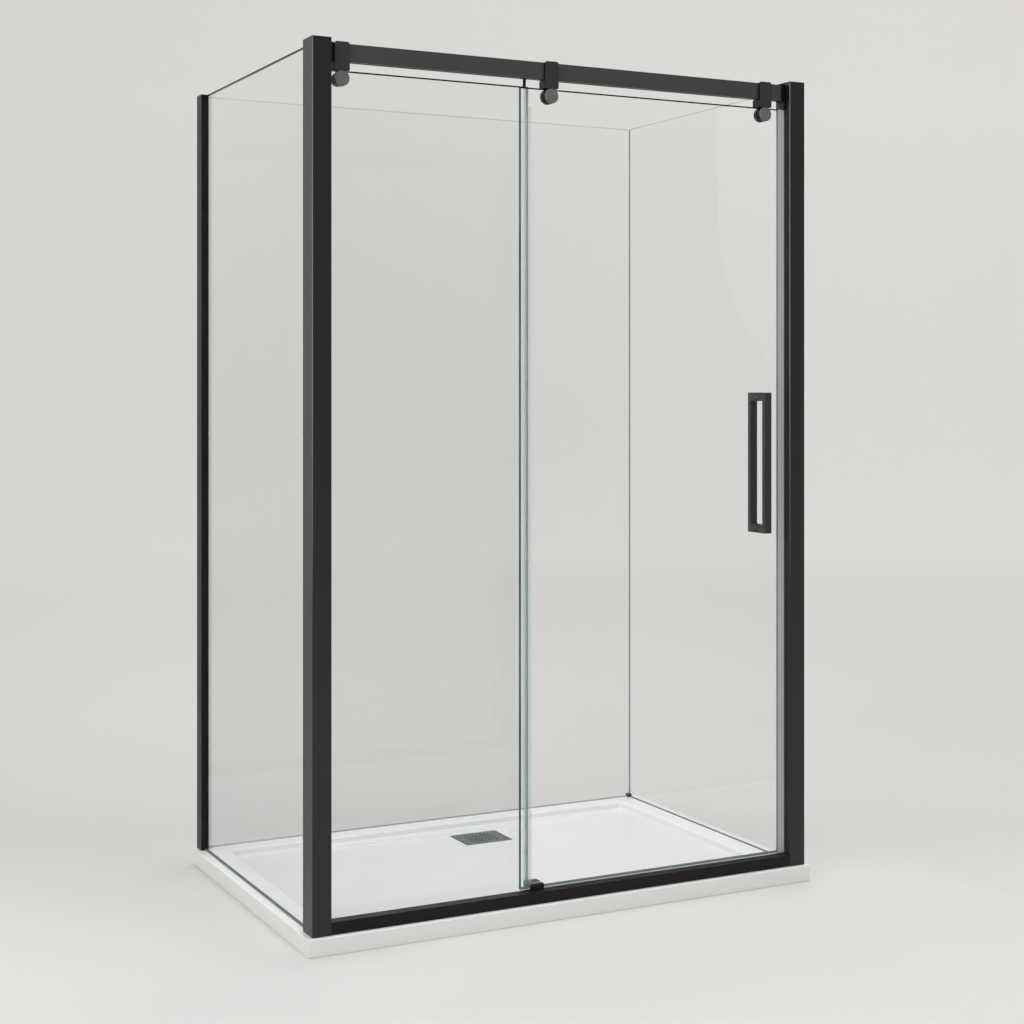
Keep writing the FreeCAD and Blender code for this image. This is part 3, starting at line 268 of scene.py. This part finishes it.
def clearPlastic(name, colour, opacity, stripeAxis=None, below=None):
    # a milky clear profile: part see-through, part soft plastic with draw lines and hollow chambers;
    # below a level it is painted nearly white and more opaque, a painted highlight
    v = sealValues
    n = Nodes(name)
    draw = n.noise(n.place(v["drawStretch"]), v["drawScale"], v["drawDetail"])
    drawn = n.ramp(draw, 0.0, v["drawShare"], *v["drawBand"])
    tone = n.mixColour(drawn, colour, shaded(colour, v["drawShade"]))
    share = n.ramp(draw, opacity - v["opacitySpread"], opacity + v["opacitySpread"])
    if stripeAxis is not None:
        wave = n.maths("SINE", n.maths("MULTIPLY", n.axis(stripeAxis), 2 * math.pi / v["stripe"]))
        chamber = n.ramp(wave, 0.0, 1.0, *v["chamberBand"], smooth=True)
        tone = n.mixColour(chamber, shaded(colour, v["chamberShade"]), tone)
    # painted highlight: below the level the profile turns nearly white and more opaque
    if below:
        sealHighlight = n.maths("LESS_THAN", n.axis(2), below)
        tone = n.mixColour(sealHighlight, tone, v["highlightWhite"])
        share = n.maths("MAXIMUM", share, n.maths("MULTIPLY", sealHighlight, v["highlightOpacity"]))
    body = n.add("BsdfPrincipled", {
        "Base Color": tone, "IOR": v["ior"], "Normal": n.bump(draw, v["bumpStrength"], v["bumpDepth"]),
        "Roughness": n.ramp(draw, v["roughness"] - v["glossier"], v["roughness"] + v["duller"])})
    clear = n.add("BsdfTransparent", {"Color": v["clearTint"]})
    both = n.add("MixShader", {0: share, 1: clear.outputs[0], 2: body.outputs[0]})
    return n.finish(both.outputs[0])


mattValues = {
    "grainScale": 420.0, "grainDetail": 4, "grainBite": 0.6, "bumpStrength": 0.25, "bumpDepth": 0.00008,
    "cloudScale": 9.0, "cloudDetail": 3, "cloudBand": (0.3, 0.7), "colourSpread": 0.15, "shineSpread": 0.06,
}


def softMaterial(name, colour, roughness):
    # rubber or moulded plastic: fine matt grain and a little cloudy variation
    v = mattValues
    n = Nodes(name)
    grain = n.noise(n.place(), v["grainScale"], v["grainDetail"], v["grainBite"])
    cloud = n.noise(n.place(), v["cloudScale"], v["cloudDetail"])
    darker, paler = shaded(colour, 1 - v["colourSpread"]), shaded(colour, 1 + v["colourSpread"])
    shader = n.add("BsdfPrincipled", {
        "Base Color": n.mixColour(n.ramp(cloud, 0.0, 1.0, *v["cloudBand"]), darker, paler),
        "Roughness": n.ramp(grain, roughness - v["shineSpread"], roughness + v["shineSpread"]),
        "Normal": n.bump(grain, v["bumpStrength"], v["bumpDepth"])})
    return n.finish(shader.outputs[0])


metalValues = {
    "lineScale": 1800, "lineDetail": 3, "lineBite": 0.6, "bumpStrength": 0.2, "bumpDepth": 0.00004,
    "cloudScale": 14, "cloudDetail": 3, "cloudBand": (0.3, 0.7), "cloudShade": 0.82,
    "glossier": 0.07, "duller": 0.09,
    # the rims' darker colour is painted shade
    "rimFrom": 0.2, "rimTo": 0.6,  # how far a normal turns to the front where the rim's colour ends
}


def brushedMetal(name, colour, roughness, stretch=(1, 1, 1), metallic=1.0, rimColour=None):
    # fine lines drawn out along the axis whose stretch is small; round rims may be painted darker than faces
    # as painted shade
    v = metalValues
    n = Nodes(name)
    lines = n.noise(n.place(stretch), v["lineScale"], v["lineDetail"], v["lineBite"])
    cloud = n.noise(n.place(), v["cloudScale"], v["cloudDetail"])
    clouded = n.ramp(cloud, 0.0, 1.0, *v["cloudBand"])
    base = n.mixColour(clouded, shaded(colour, v["cloudShade"]), colour)
    # painted shade: round rims, whose normals turn away from the front, take a darker colour
    if rimColour:
        across = n.maths("ABSOLUTE", n.axis(1, "Normal"))
        base = n.mixColour(n.ramp(across, 0.0, 1.0, v["rimFrom"], v["rimTo"]), rimColour, base)
    shader = n.add("BsdfPrincipled", {
        "Base Color": base, "Metallic": metallic,
        "Roughness": n.ramp(lines, roughness - v["glossier"], roughness + v["duller"]),
        "Normal": n.bump(lines, v["bumpStrength"], v["bumpDepth"])})
    return n.finish(shader.outputs[0])


coverValues = {
    "colour": linear(94, 101, 99), "rim": linear(24, 28, 28), "rimWidth": 0.0036, "rimBlend": 0.7,
    "metallic": 0.6, "roughness": (0.34, 0.5), "lineScale": 1500, "lineDetail": 3, "lineBite": 0.6,
    "lineStretch": (0.05, 1, 1), "cloudScale": 12, "cloudDetail": 3, "cloudBand": (0.3, 0.7),
    "cloudShade": 0.85, "bumpStrength": 0.2, "bumpDepth": 0.00004,
}


def coverMaterial():
    # satin grey plate with fine lines and a darker band along its outline
    v = coverValues
    n = Nodes("drainCover")
    lines = n.noise(n.place(v["lineStretch"]), v["lineScale"], v["lineDetail"], v["lineBite"])
    cloud = n.noise(n.place(), v["cloudScale"], v["cloudDetail"])
    clouded = n.ramp(cloud, 0.0, 1.0, *v["cloudBand"])
    base = n.mixColour(clouded, shaded(v["colour"], v["cloudShade"]), v["colour"])
    inside = n.ramp(n.fromOutline("waste_cover", (0, 1)), 0.0, 1.0, v["rimWidth"] * v["rimBlend"],
                    v["rimWidth"])
    shader = n.add("BsdfPrincipled", {
        "Base Color": n.mixColour(inside, v["rim"], base), "Metallic": v["metallic"],
        "Roughness": n.ramp(lines, *v["roughness"]),
        "Normal": n.bump(lines, v["bumpStrength"], v["bumpDepth"])})
    return n.finish(shader.outputs[0])


trayValues = {
    "colour": (0.776, 0.776, 0.78, 1.0), "shade": (0.752, 0.752, 0.757, 1.0),
    "roughness": 0.16, "duller": 0.08, "ior": 1.49, "coat": 0.4, "coatRoughness": 0.08,
    "waveScale": 3.0, "waveDetail": 3, "tintBand": (0.35, 0.7), "shineBand": (0.3, 0.7),
    "speckScale": 1500.0, "speckDetail": 2, "speckStrength": 0.04, "speckDepth": 0.00005,
    # painted light and shade: basin darker than rim, outer faces paler, front top edge a highlight, left faces
    # darker
    "rimColour": (0.836, 0.836, 0.838, 1.0), "outerColour": (0.865, 0.858, 0.85, 1.0),
    "edgeColour": (0.97, 0.965, 0.96, 1.0), "leftShadeColour": (0.735, 0.725, 0.715, 1.0),
    "outerReach": 0.009, "outerBlend": 0.8, "edgeLevel": 0.038, "edgeRise": 0.0015,
    "leftFull": -0.75, "leftNone": -0.1,
    # the basin, in metres from the tray's left, front and back edges, then its wall's run and levels
    "side": 0.085, "back": 0.072, "corner": 0.030, "wallRun": 0.011, "wallFoot": 0.028,
    "rampRun": 0.024, "rampFoot": 0.026, "floorRun": 0.30, "floorDrop": 0.004,
    "outerCorner": 0.008, "outerEdge": 0.003, "footEdge": 0.0016, "lipRound": 0.0028, "wallRound": 0.004,
    "rampRound": 0.006,
    "drainGap": 0.0007, "drainCorner": 0.005, "sumpFloor": 0.009, "wasteHole": 0.045, "pocketRadius": 0.062,
    "pocketTop": 0.005, "sideSteps": 24, "cornerSteps": 12, "floorSteps": 10, "roundSteps": 7,
    "leastCorner": 0.0005, "flatRun": 0.01, "sharpAngle": 50,
}


def trayMaterial():
    # gloss white resin: very soft waves in the shine and a hardly visible speckle
    v = trayValues
    n = Nodes("trayWhite")
    wave = n.noise(n.place(), v["waveScale"], v["waveDetail"])
    speck = n.noise(n.place(), v["speckScale"], v["speckDetail"])
    base = n.mixColour(n.ramp(wave, 0.0, 1.0, *v["tintBand"]), v["colour"], v["shade"])
    # painted light and shade: rim paler than the basin, outer faces paler still, a painted highlight along the
    # front top edge and painted shade on left-facing outer faces
    innerReach = v["outerReach"] * v["outerBlend"]
    toOutside = n.ramp(n.fromOutline("shower_tray", (0, 1)), 1.0, 0.0, innerReach, v["outerReach"])
    toEdge = n.ramp(n.axis(2), 0.0, 1.0, v["edgeLevel"], v["edgeLevel"] + v["edgeRise"])
    front = float(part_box("shower_tray")[0][1])
    frontEdgeHighlight = n.ramp(n.axis(1), 1.0, 0.0, front + innerReach, front + v["outerReach"])
    toShadedLeft = n.ramp(n.axis(0, "Normal"), 1.0, 0.0, v["leftFull"], v["leftNone"])
    outer = n.mixColour(toEdge, v["outerColour"], n.mixColour(frontEdgeHighlight, v["rimColour"], v["edgeColour"]))
    outer = n.mixColour(toShadedLeft, outer, v["leftShadeColour"])
    shader = n.add("BsdfPrincipled", {
        "Base Color": n.mixColour(toOutside, n.mixColour(toEdge, base, v["rimColour"]), outer),
        "Roughness": n.ramp(wave, v["roughness"], v["roughness"] + v["duller"], *v["shineBand"]),
        "IOR": v["ior"], "Coat Weight": v["coat"], "Coat Roughness": v["coatRoughness"],
        "Normal": n.bump(speck, v["speckStrength"], v["speckDepth"])})
    return n.finish(shader.outputs[0])


def roundedLoop(low, high, corner, inset):
    # a rectangle moved inwards by inset: along each side evenly, then a quarter turn at each corner
    v = trayValues
    x0, y0 = low[0] + inset, low[1] + inset
    x1, y1 = high[0] - inset, high[1] - inset
    radius = max(corner - inset, v["leastCorner"])
    along = np.linspace(0, 1, v["sideSteps"], endpoint=False)
    turn = np.linspace(0, math.pi / 2, v["cornerSteps"], endpoint=False)
    corners = [(x1 - radius, y0 + radius, -math.pi / 2), (x1 - radius, y1 - radius, 0.0),
               (x0 + radius, y1 - radius, math.pi / 2), (x0 + radius, y0 + radius, math.pi)]
    starts = [(x0 + radius, y0), (x1, y0 + radius), (x1 - radius, y1), (x0, y1 - radius)]
    ends = [(x1 - radius, y0), (x1, y1 - radius), (x0 + radius, y1), (x0, y0 + radius)]
    parts = []
    for start, end, (cx, cy, first) in zip(starts, ends, corners):
        parts.append(np.array(start) + along[:, None] * (np.array(end) - np.array(start)))
        parts.append(np.column_stack((cx + radius * np.cos(first + turn), cy + radius * np.sin(first + turn))))
    return np.concatenate(parts)


def softCorner(before, corner, after, reach):
    # a bend of a profile: the curve 1-t squared, 2t(1-t), t squared through three points round its corner
    v = trayValues
    before, corner, after = map(np.array, (before, corner, after))
    start = corner + (before - corner) * min(1, reach / np.linalg.norm(before - corner))
    end = corner + (after - corner) * min(1, reach / np.linalg.norm(after - corner))
    t = np.linspace(0, 1, v["roundSteps"])[:, None]
    return start * (1 - t) ** 2 + 2 * corner * t * (1 - t) + end * t ** 2


def makeTray():
    # one closed skin: rounded loops go up the outside, over the rim, down the basin to the drain and
    # back through the waste hole to the underside
    v = trayValues
    low, high = map(np.array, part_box("shower_tray"))
    coverLow, coverHigh = map(np.array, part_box("waste_cover"))
    gap = v["drainGap"]
    middle = (coverLow[:2] + coverHigh[:2]) / 2
    drain = roundedLoop(coverLow[:2] - gap, coverHigh[:2] + gap, v["drainCorner"], 0)
    top, drainLevel = high[2], coverHigh[2]
    basinLow = low[:2] + v["side"]
    basinHigh = np.array((high[0] - v["side"], high[1] - v["back"]))

    rings, levels = [], []

    def ring(points, level):
        rings.append(points)
        levels.append(level)

    edge = np.concatenate((softCorner((v["flatRun"], 0), (0, 0), (0, top), v["footEdge"]),
                           softCorner((0, 0), (0, top), (v["flatRun"], top), v["outerEdge"])))
    for inset, level in edge:
        ring(roundedLoop(low[:2], high[:2], v["outerCorner"], inset), level)
    lip, wall, ramp = (0.0, top), (v["wallRun"], v["wallFoot"]), (v["rampRun"], v["rampFoot"])
    floor = (v["floorRun"], v["rampFoot"] - v["floorDrop"])
    profile = np.concatenate((softCorner((-v["flatRun"], top), lip, wall, v["lipRound"]),
                              softCorner(lip, wall, ramp, v["wallRound"]),
                              softCorner(wall, ramp, floor, v["rampRound"])))
    for inset, level in profile:
        ring(roundedLoop(basinLow, basinHigh, v["corner"], inset), level)
    lastInset, lastLevel = profile[-1]
    shore = roundedLoop(basinLow, basinHigh, v["corner"], lastInset)
    for share in np.linspace(0, 1, v["floorSteps"] + 1)[1:]:
        ring(shore + (drain - shore) * share, lastLevel + (drainLevel - lastLevel) * share)
    ring(drain, v["sumpFloor"])
    away = drain - middle
    direction = away / np.linalg.norm(away, axis=1)[:, None]
    hole = middle + direction * v["wasteHole"]
    pocketEdge = middle + direction * v["pocketRadius"]
    ring(hole, v["sumpFloor"])
    ring(hole, v["pocketTop"])
    ring(pocketEdge, v["pocketTop"])
    ring(pocketEdge, 0.0)

    count, size = len(rings), len(drain)
    flat = np.concatenate(rings)
    height = np.repeat(levels, size)
    points = np.column_stack((flat, height))
    row, column = np.meshgrid(np.arange(count), np.arange(size), indexing="ij")
    nextRow, nextColumn = (row + 1) % count, (column + 1) % size
    faces = np.stack((row * size + column, row * size + nextColumn, nextRow * size + nextColumn,
                      nextRow * size + column), axis=-1).reshape(-1, 4)
    meshData = bpy.data.meshes.new("trayShell")
    meshData.from_pydata(points.tolist(), [], faces.tolist())
    meshData.shade_smooth()
    meshData.set_sharp_from_angle(angle=math.radians(v["sharpAngle"]))
    meshData.materials.append(trayMaterial())
    tray = bpy.data.objects.new("trayShell", meshData)
    scene.collection.objects.link(tray)
    weights = tray.modifiers.new("evenShine", "WEIGHTED_NORMAL")
    weights.keep_sharp = True
    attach(tray, "enclosure")
    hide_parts("shower_tray")
    print("tray made with", len(faces), "faces")


# each finish: the function that makes it, what it is told, and the CAD nodes that wear it
finishes = {
    "leftPostCoat": (powderCoat, {"highlightCornerOf": "post_left"}, ["post_left"]),
    "rightPostCoat": (powderCoat, {"highlightCornerOf": "post_right"}, ["post_right"]),
    "sillCoat": (powderCoat, {"colour": linear(26, 26, 25), "worn": linear(32, 32, 31),
                              "roughness": 0.38, "ior": 1.25}, ["front_sill"]),
    "blackCoatDark": (powderCoat, {"colour": linear(8, 8, 8), "worn": linear(14, 14, 13),
                                   "roughness": 0.4, "ior": 1.34},
                      ["door_guide", "corner_profile", "rail_socket_left", "rail_socket_right",
                       "glass_top_pin", "strike_block"]),
    "railCoat": (powderCoat, {"colour": linear(60, 62, 60), "worn": linear(68, 70, 68),
                              "roughness": 0.36}, ["top_rail"]),
    "hangerCoat": (powderCoat, {"colour": linear(50, 51, 50), "worn": linear(58, 59, 58),
                                "roughness": 0.4, "sideShadeColour": linear(8, 8, 8), "ior": 1.34},
                   ["door_hanger_left", "door_hanger_right", "fixed_hanger", "fixed_spacer"]),
    "handleCoat": (powderCoat, {"colour": linear(38, 38, 37), "worn": linear(46, 46, 45),
                                "roughness": 0.3}, ["handle_front", "handle_rear"]),
    "footCoat": (softMaterial, {"colour": linear(118, 124, 122), "roughness": 0.5}, ["side_channel"]),
    "capPlastic": (softMaterial, {"colour": linear(24, 24, 24), "roughness": 0.55},
                   ["post_left_cap", "post_right_cap", "corner_profile_cap", "corner_foot"]),
    "blackRubber": (softMaterial, {"colour": linear(24, 25, 25), "roughness": 0.68},
                    ["post_left_beads", "post_right_beads", "corner_profile_beads", "rail_buffers",
                     "waste_seal", "disc_gaskets", "strike_strip"]),
    "discMetal": (brushedMetal, {"colour": linear(124, 130, 127), "roughness": 0.42, "metallic": 0.6,
                                 "stretch": (1, 0.1, 1), "rimColour": linear(46, 49, 48)},
                  ["front_disc_left", "front_disc_right", "rear_disc_left", "rear_disc_right",
                   "fixed_disc_front", "fixed_disc_rear"]),
    "steel": (brushedMetal, {"colour": linear(196, 196, 194), "roughness": 0.26,
                             "stretch": (1, 0.05, 1)},
              ["disc_bolts", "roller_axles", "fixed_clamp_bolt", "handle_bolts", "rail_socket_screws"]),
    "edgeSeal": (clearPlastic, {"colour": linear(232, 240, 241), "opacity": 0.78, "stripeAxis": 0},
                 ["door_edge_seal"]),
    "overlapSeal": (clearPlastic, {"colour": linear(226, 234, 235), "opacity": 0.26}, ["overlap_seal"]),
    "dripSeal": (clearPlastic, {"colour": linear(150, 170, 168), "opacity": 0.6,
                                "below": float(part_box("door_glass")[0][2]) + sealValues["highlightRise"]},
                 ["door_bottom_seal"]),
    "paleSeal": (clearPlastic, {"colour": linear(232, 236, 235), "opacity": 0.85}, ["back_seal"]),
    "cornerSeal": (clearPlastic, {"colour": linear(140, 156, 156), "opacity": 0.6}, ["corner_joint"]),
    "washerPlastic": (clearPlastic, {"colour": linear(210, 214, 212), "opacity": 0.5},
                      ["handle_washers"]),
    "greySeal": (softMaterial, {"colour": linear(118, 126, 126), "roughness": 0.45}, ["right_seal"]),
    "rollerPlastic": (softMaterial, {"colour": linear(226, 226, 222), "roughness": 0.34},
                      ["roller_pair_1", "roller_pair_2", "roller_pair_3", "roller_pair_4"]),
    "linerPlastic": (softMaterial, {"colour": linear(170, 172, 172), "roughness": 0.4}, ["guide_liner"]),
    "wastePlastic": (softMaterial, {"colour": linear(150, 152, 154), "roughness": 0.46},
                     ["waste_body", "waste_clamp_ring"]),
}
dressed = 0
for name, (make, settings, nodes) in finishes.items():
    material = make(name, **settings)
    for node in nodes:
        setMaterial(node, material)
    dressed += len(nodes)
setMaterial("waste_cover", coverMaterial())
for node in glassValues["panes"]:
    setMaterial(node, paneGlass(node))
print("materials set on", dressed + 1 + len(glassValues["panes"]), "CAD nodes")
makeTray()

cameraValues = {
    "place": (-2.0906, -4.2032, 1.2960), "turn": 26.955, "lens": 61.6, "sensor": 36.0, "shift": -0.1211,
}


def makeCamera():
    v = cameraValues
    cameraData = bpy.data.cameras.new("photoCamera")
    cameraData.sensor_width = v["sensor"]
    cameraData.lens = v["lens"]
    cameraData.shift_y = v["shift"]
    camera = bpy.data.objects.new("photoCamera", cameraData)
    scene.collection.objects.link(camera)
    camera.location = v["place"]
    camera.rotation_euler = (math.pi / 2, 0, -math.radians(v["turn"]))
    scene.camera = camera


backdropValues = {
    # the floor's colour close to the camera, beside the tray and far off, graded as painted light and shade,
    # with the metres between them
    "nearColour": (0.650, 0.643, 0.634, 1.0), "middleColour": (0.530, 0.523, 0.514, 1.0),
    "farColour": (0.87, 0.86, 0.847, 1.0), "nearAt": -0.9, "middleAt": 0.5, "farAt": 9.0,
    # painted light and shade, as shares of colour added: left and right beside the tray, close before its
    # front, and far off
    "rightLift": 0.09, "leftLift": -0.03, "frontLift": 0.16, "farLeft": -0.055, "farRight": -0.005,
    # metres from the origin along the view, or across it, between which each share comes or goes
    "besideStart": (-0.8, 0.0), "besideEnd": (0.4, 2.1), "besideAcross": (-1.0, 0.9),
    "frontReach": 0.4, "frontAcross": (-0.6, -0.1), "frontDepth": 0.4,
    "farStart": (3.0, 8.0), "farAcross": (-4.5, 3.9),
    "roughness": 0.85, "shine": 0.1, "curveSteps": 49,
    # painted light: the wall glows, more strongly higher up, though it is no lamp
    "glowColour": (1.0, 0.985, 0.965, 1.0), "glowLow": 0.02, "glowHigh": 0.145, "glowTop": 4.2,
    "halfWidth": 22.0, "front": -14.0, "back": 13.0, "height": 12.0, "curve": 4.5,
}


def makeBackdrop():
    # a pale floor that curves up into a wall square to the camera: an L with a quarter-round foot
    v = backdropValues
    radius = v["curve"]
    turn = np.linspace(0, math.pi / 2, v["curveSteps"])
    along = np.concatenate(([v["front"]], v["back"] - radius + radius * np.sin(turn), [v["back"]]))
    height = np.concatenate(([0.0], radius * (1 - np.cos(turn)), [v["height"]]))
    direction = math.radians(cameraValues["turn"])
    forward = np.array([math.sin(direction), math.cos(direction)])
    side = np.array([forward[1], -forward[0]])
    points = []
    for half in (-v["halfWidth"], v["halfWidth"]):
        flat = along[:, None] * forward + half * side
        points.append(np.column_stack((flat, height)))
    count = len(along)
    faces = [(i, i + 1, count + i + 1, count + i) for i in range(count - 1)]
    meshData = bpy.data.meshes.new("backdrop")
    meshData.from_pydata(np.concatenate(points).tolist(), [], faces)
    meshData.shade_smooth()
    backdrop = bpy.data.objects.new("backdrop", meshData)
    scene.collection.objects.link(backdrop)
    n = Nodes("backdropPaint")
    distance = n.maths("ADD", n.maths("MULTIPLY", n.axis(0), float(forward[0])),
                       n.maths("MULTIPLY", n.axis(1), float(forward[1])))
    # painted light and shade: the colour is graded along the view
    close = n.ramp(distance, 0.0, 1.0, v["nearAt"], v["middleAt"], smooth=True)
    far = n.ramp(distance, 0.0, 1.0, v["middleAt"], v["farAt"])
    paint = n.mixColour(far, n.mixColour(close, v["nearColour"], v["middleColour"]), v["farColour"])
    sideways = n.maths("ADD", n.maths("MULTIPLY", n.axis(0), float(side[0])),
                       n.maths("MULTIPLY", n.axis(1), float(side[1])))
    # painted light and shade: patches beside the tray, before its front and far off lighten or darken the
    # colour
    beside = n.maths("MULTIPLY", n.ramp(distance, 0.0, 1.0, *v["besideStart"]),
                     n.ramp(distance, 1.0, 0.0, *v["besideEnd"]))
    lift = n.maths("MULTIPLY", beside, n.ramp(sideways, v["leftLift"], v["rightLift"], *v["besideAcross"]))
    low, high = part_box("shower_tray")
    away = n.maths("MAXIMUM", n.maths("SUBTRACT", float(low[1]), n.axis(1)),
                   n.maths("SUBTRACT", n.axis(0), float(high[0])))
    front = n.maths("MULTIPLY", n.ramp(away, v["frontLift"], 0.0, 0.0, v["frontReach"]),
                    n.ramp(sideways, 0.0, 1.0, *v["frontAcross"]))
    front = n.maths("MULTIPLY", front, n.ramp(n.axis(1), 1.0, 0.0, float(low[1]),
                                              float(low[1]) + v["frontDepth"]))
    wide = n.maths("MULTIPLY", n.ramp(distance, 0.0, 1.0, *v["farStart"]),
                   n.ramp(sideways, v["farLeft"], v["farRight"], *v["farAcross"]))
    lightAndShadePatches = n.maths("ADD", n.maths("ADD", n.maths("ADD", lift, front), wide), 1.0)
    paint = n.add("VectorMath", {0: paint, "Scale": lightAndShadePatches}, operation="SCALE").outputs[0]
    # painted light: the wall's glow grows with height
    glow = n.ramp(n.axis(2), v["glowLow"], v["glowHigh"], 0.0, v["glowTop"])
    onWall = n.ramp(distance, 0.0, 1.0, v["back"] - 2 * v["curve"], v["back"] - v["curve"])
    shader = n.add("BsdfPrincipled", {
        "Base Color": paint, "Roughness": v["roughness"], "Specular IOR Level": v["shine"],
        "Emission Color": v["glowColour"],
        "Emission Strength": n.maths("MULTIPLY", lightAndShadePatches, n.maths("MULTIPLY", glow, onWall))})
    meshData.materials.append(n.finish(shader.outputs[0]))


airValues = {
    "colour": (1.0, 0.995, 0.99, 1.0), "strength": 1.06, "frontStrength": 0.40,
    "dimDirection": (0.35, -0.93, -0.1), "dimFrom": -0.1, "dimTo": 0.75,
}


def makeAir():
    # soft light from all round, dimmer from the front where the camera stands
    v = airValues
    world = bpy.data.worlds.new("studioAir")
    world.use_nodes = True
    tree = world.node_tree
    direction = tree.nodes.new("ShaderNodeTexCoord").outputs["Generated"]
    towards = tree.nodes.new("ShaderNodeVectorMath")
    towards.operation = "DOT_PRODUCT"
    towards.inputs[1].default_value = v["dimDirection"]
    tree.links.new(direction, towards.inputs[0])
    fade = tree.nodes.new("ShaderNodeMapRange")
    fade.interpolation_type = "SMOOTHSTEP"
    tree.links.new(towards.outputs["Value"], fade.inputs["Value"])
    for name, value in (("From Min", v["dimFrom"]), ("From Max", v["dimTo"]),
                        ("To Min", v["strength"]), ("To Max", v["frontStrength"])):
        fade.inputs[name].default_value = value
    background = tree.nodes["Background"]
    background.inputs["Color"].default_value = v["colour"]
    tree.links.new(fade.outputs["Result"], background.inputs["Strength"])
    scene.world = world


lampValues = {
    "keyLamp": {"power": 60.0, "width": 3.2, "height": 3.2, "place": (-3.2, -4.6, 4.6),
                "target": (0, 0, 1.0)},
    "topLamp": {"power": 116.0, "width": 4.0, "height": 4.0, "place": (0.4, 0.6, 5.2),
                "target": (0, 0, 0)},
    "edgeStrip": {"power": 14.0, "width": 0.35, "height": 2.6, "place": (-4.6, -2.4, 1.3),
                  "target": (0.3, -0.4, 1.1)},
}


def makeLamps():
    for name, v in lampValues.items():
        lamp = bpy.data.lights.new(name, "AREA")
        lamp.shape = "RECTANGLE"
        lamp.energy = v["power"]
        lamp.size = v["width"]
        lamp.size_y = v["height"]
        lampObject = bpy.data.objects.new(name, lamp)
        scene.collection.objects.link(lampObject)
        lampObject.location = v["place"]
        direction = np.array(v["target"]) - np.array(v["place"])
        lampObject.rotation_euler = Vector(direction).to_track_quat("-Z", "Y").to_euler()


makeCamera()
makeBackdrop()
makeAir()
makeLamps()
scene.view_settings.view_transform = "Standard"
print("studio made")
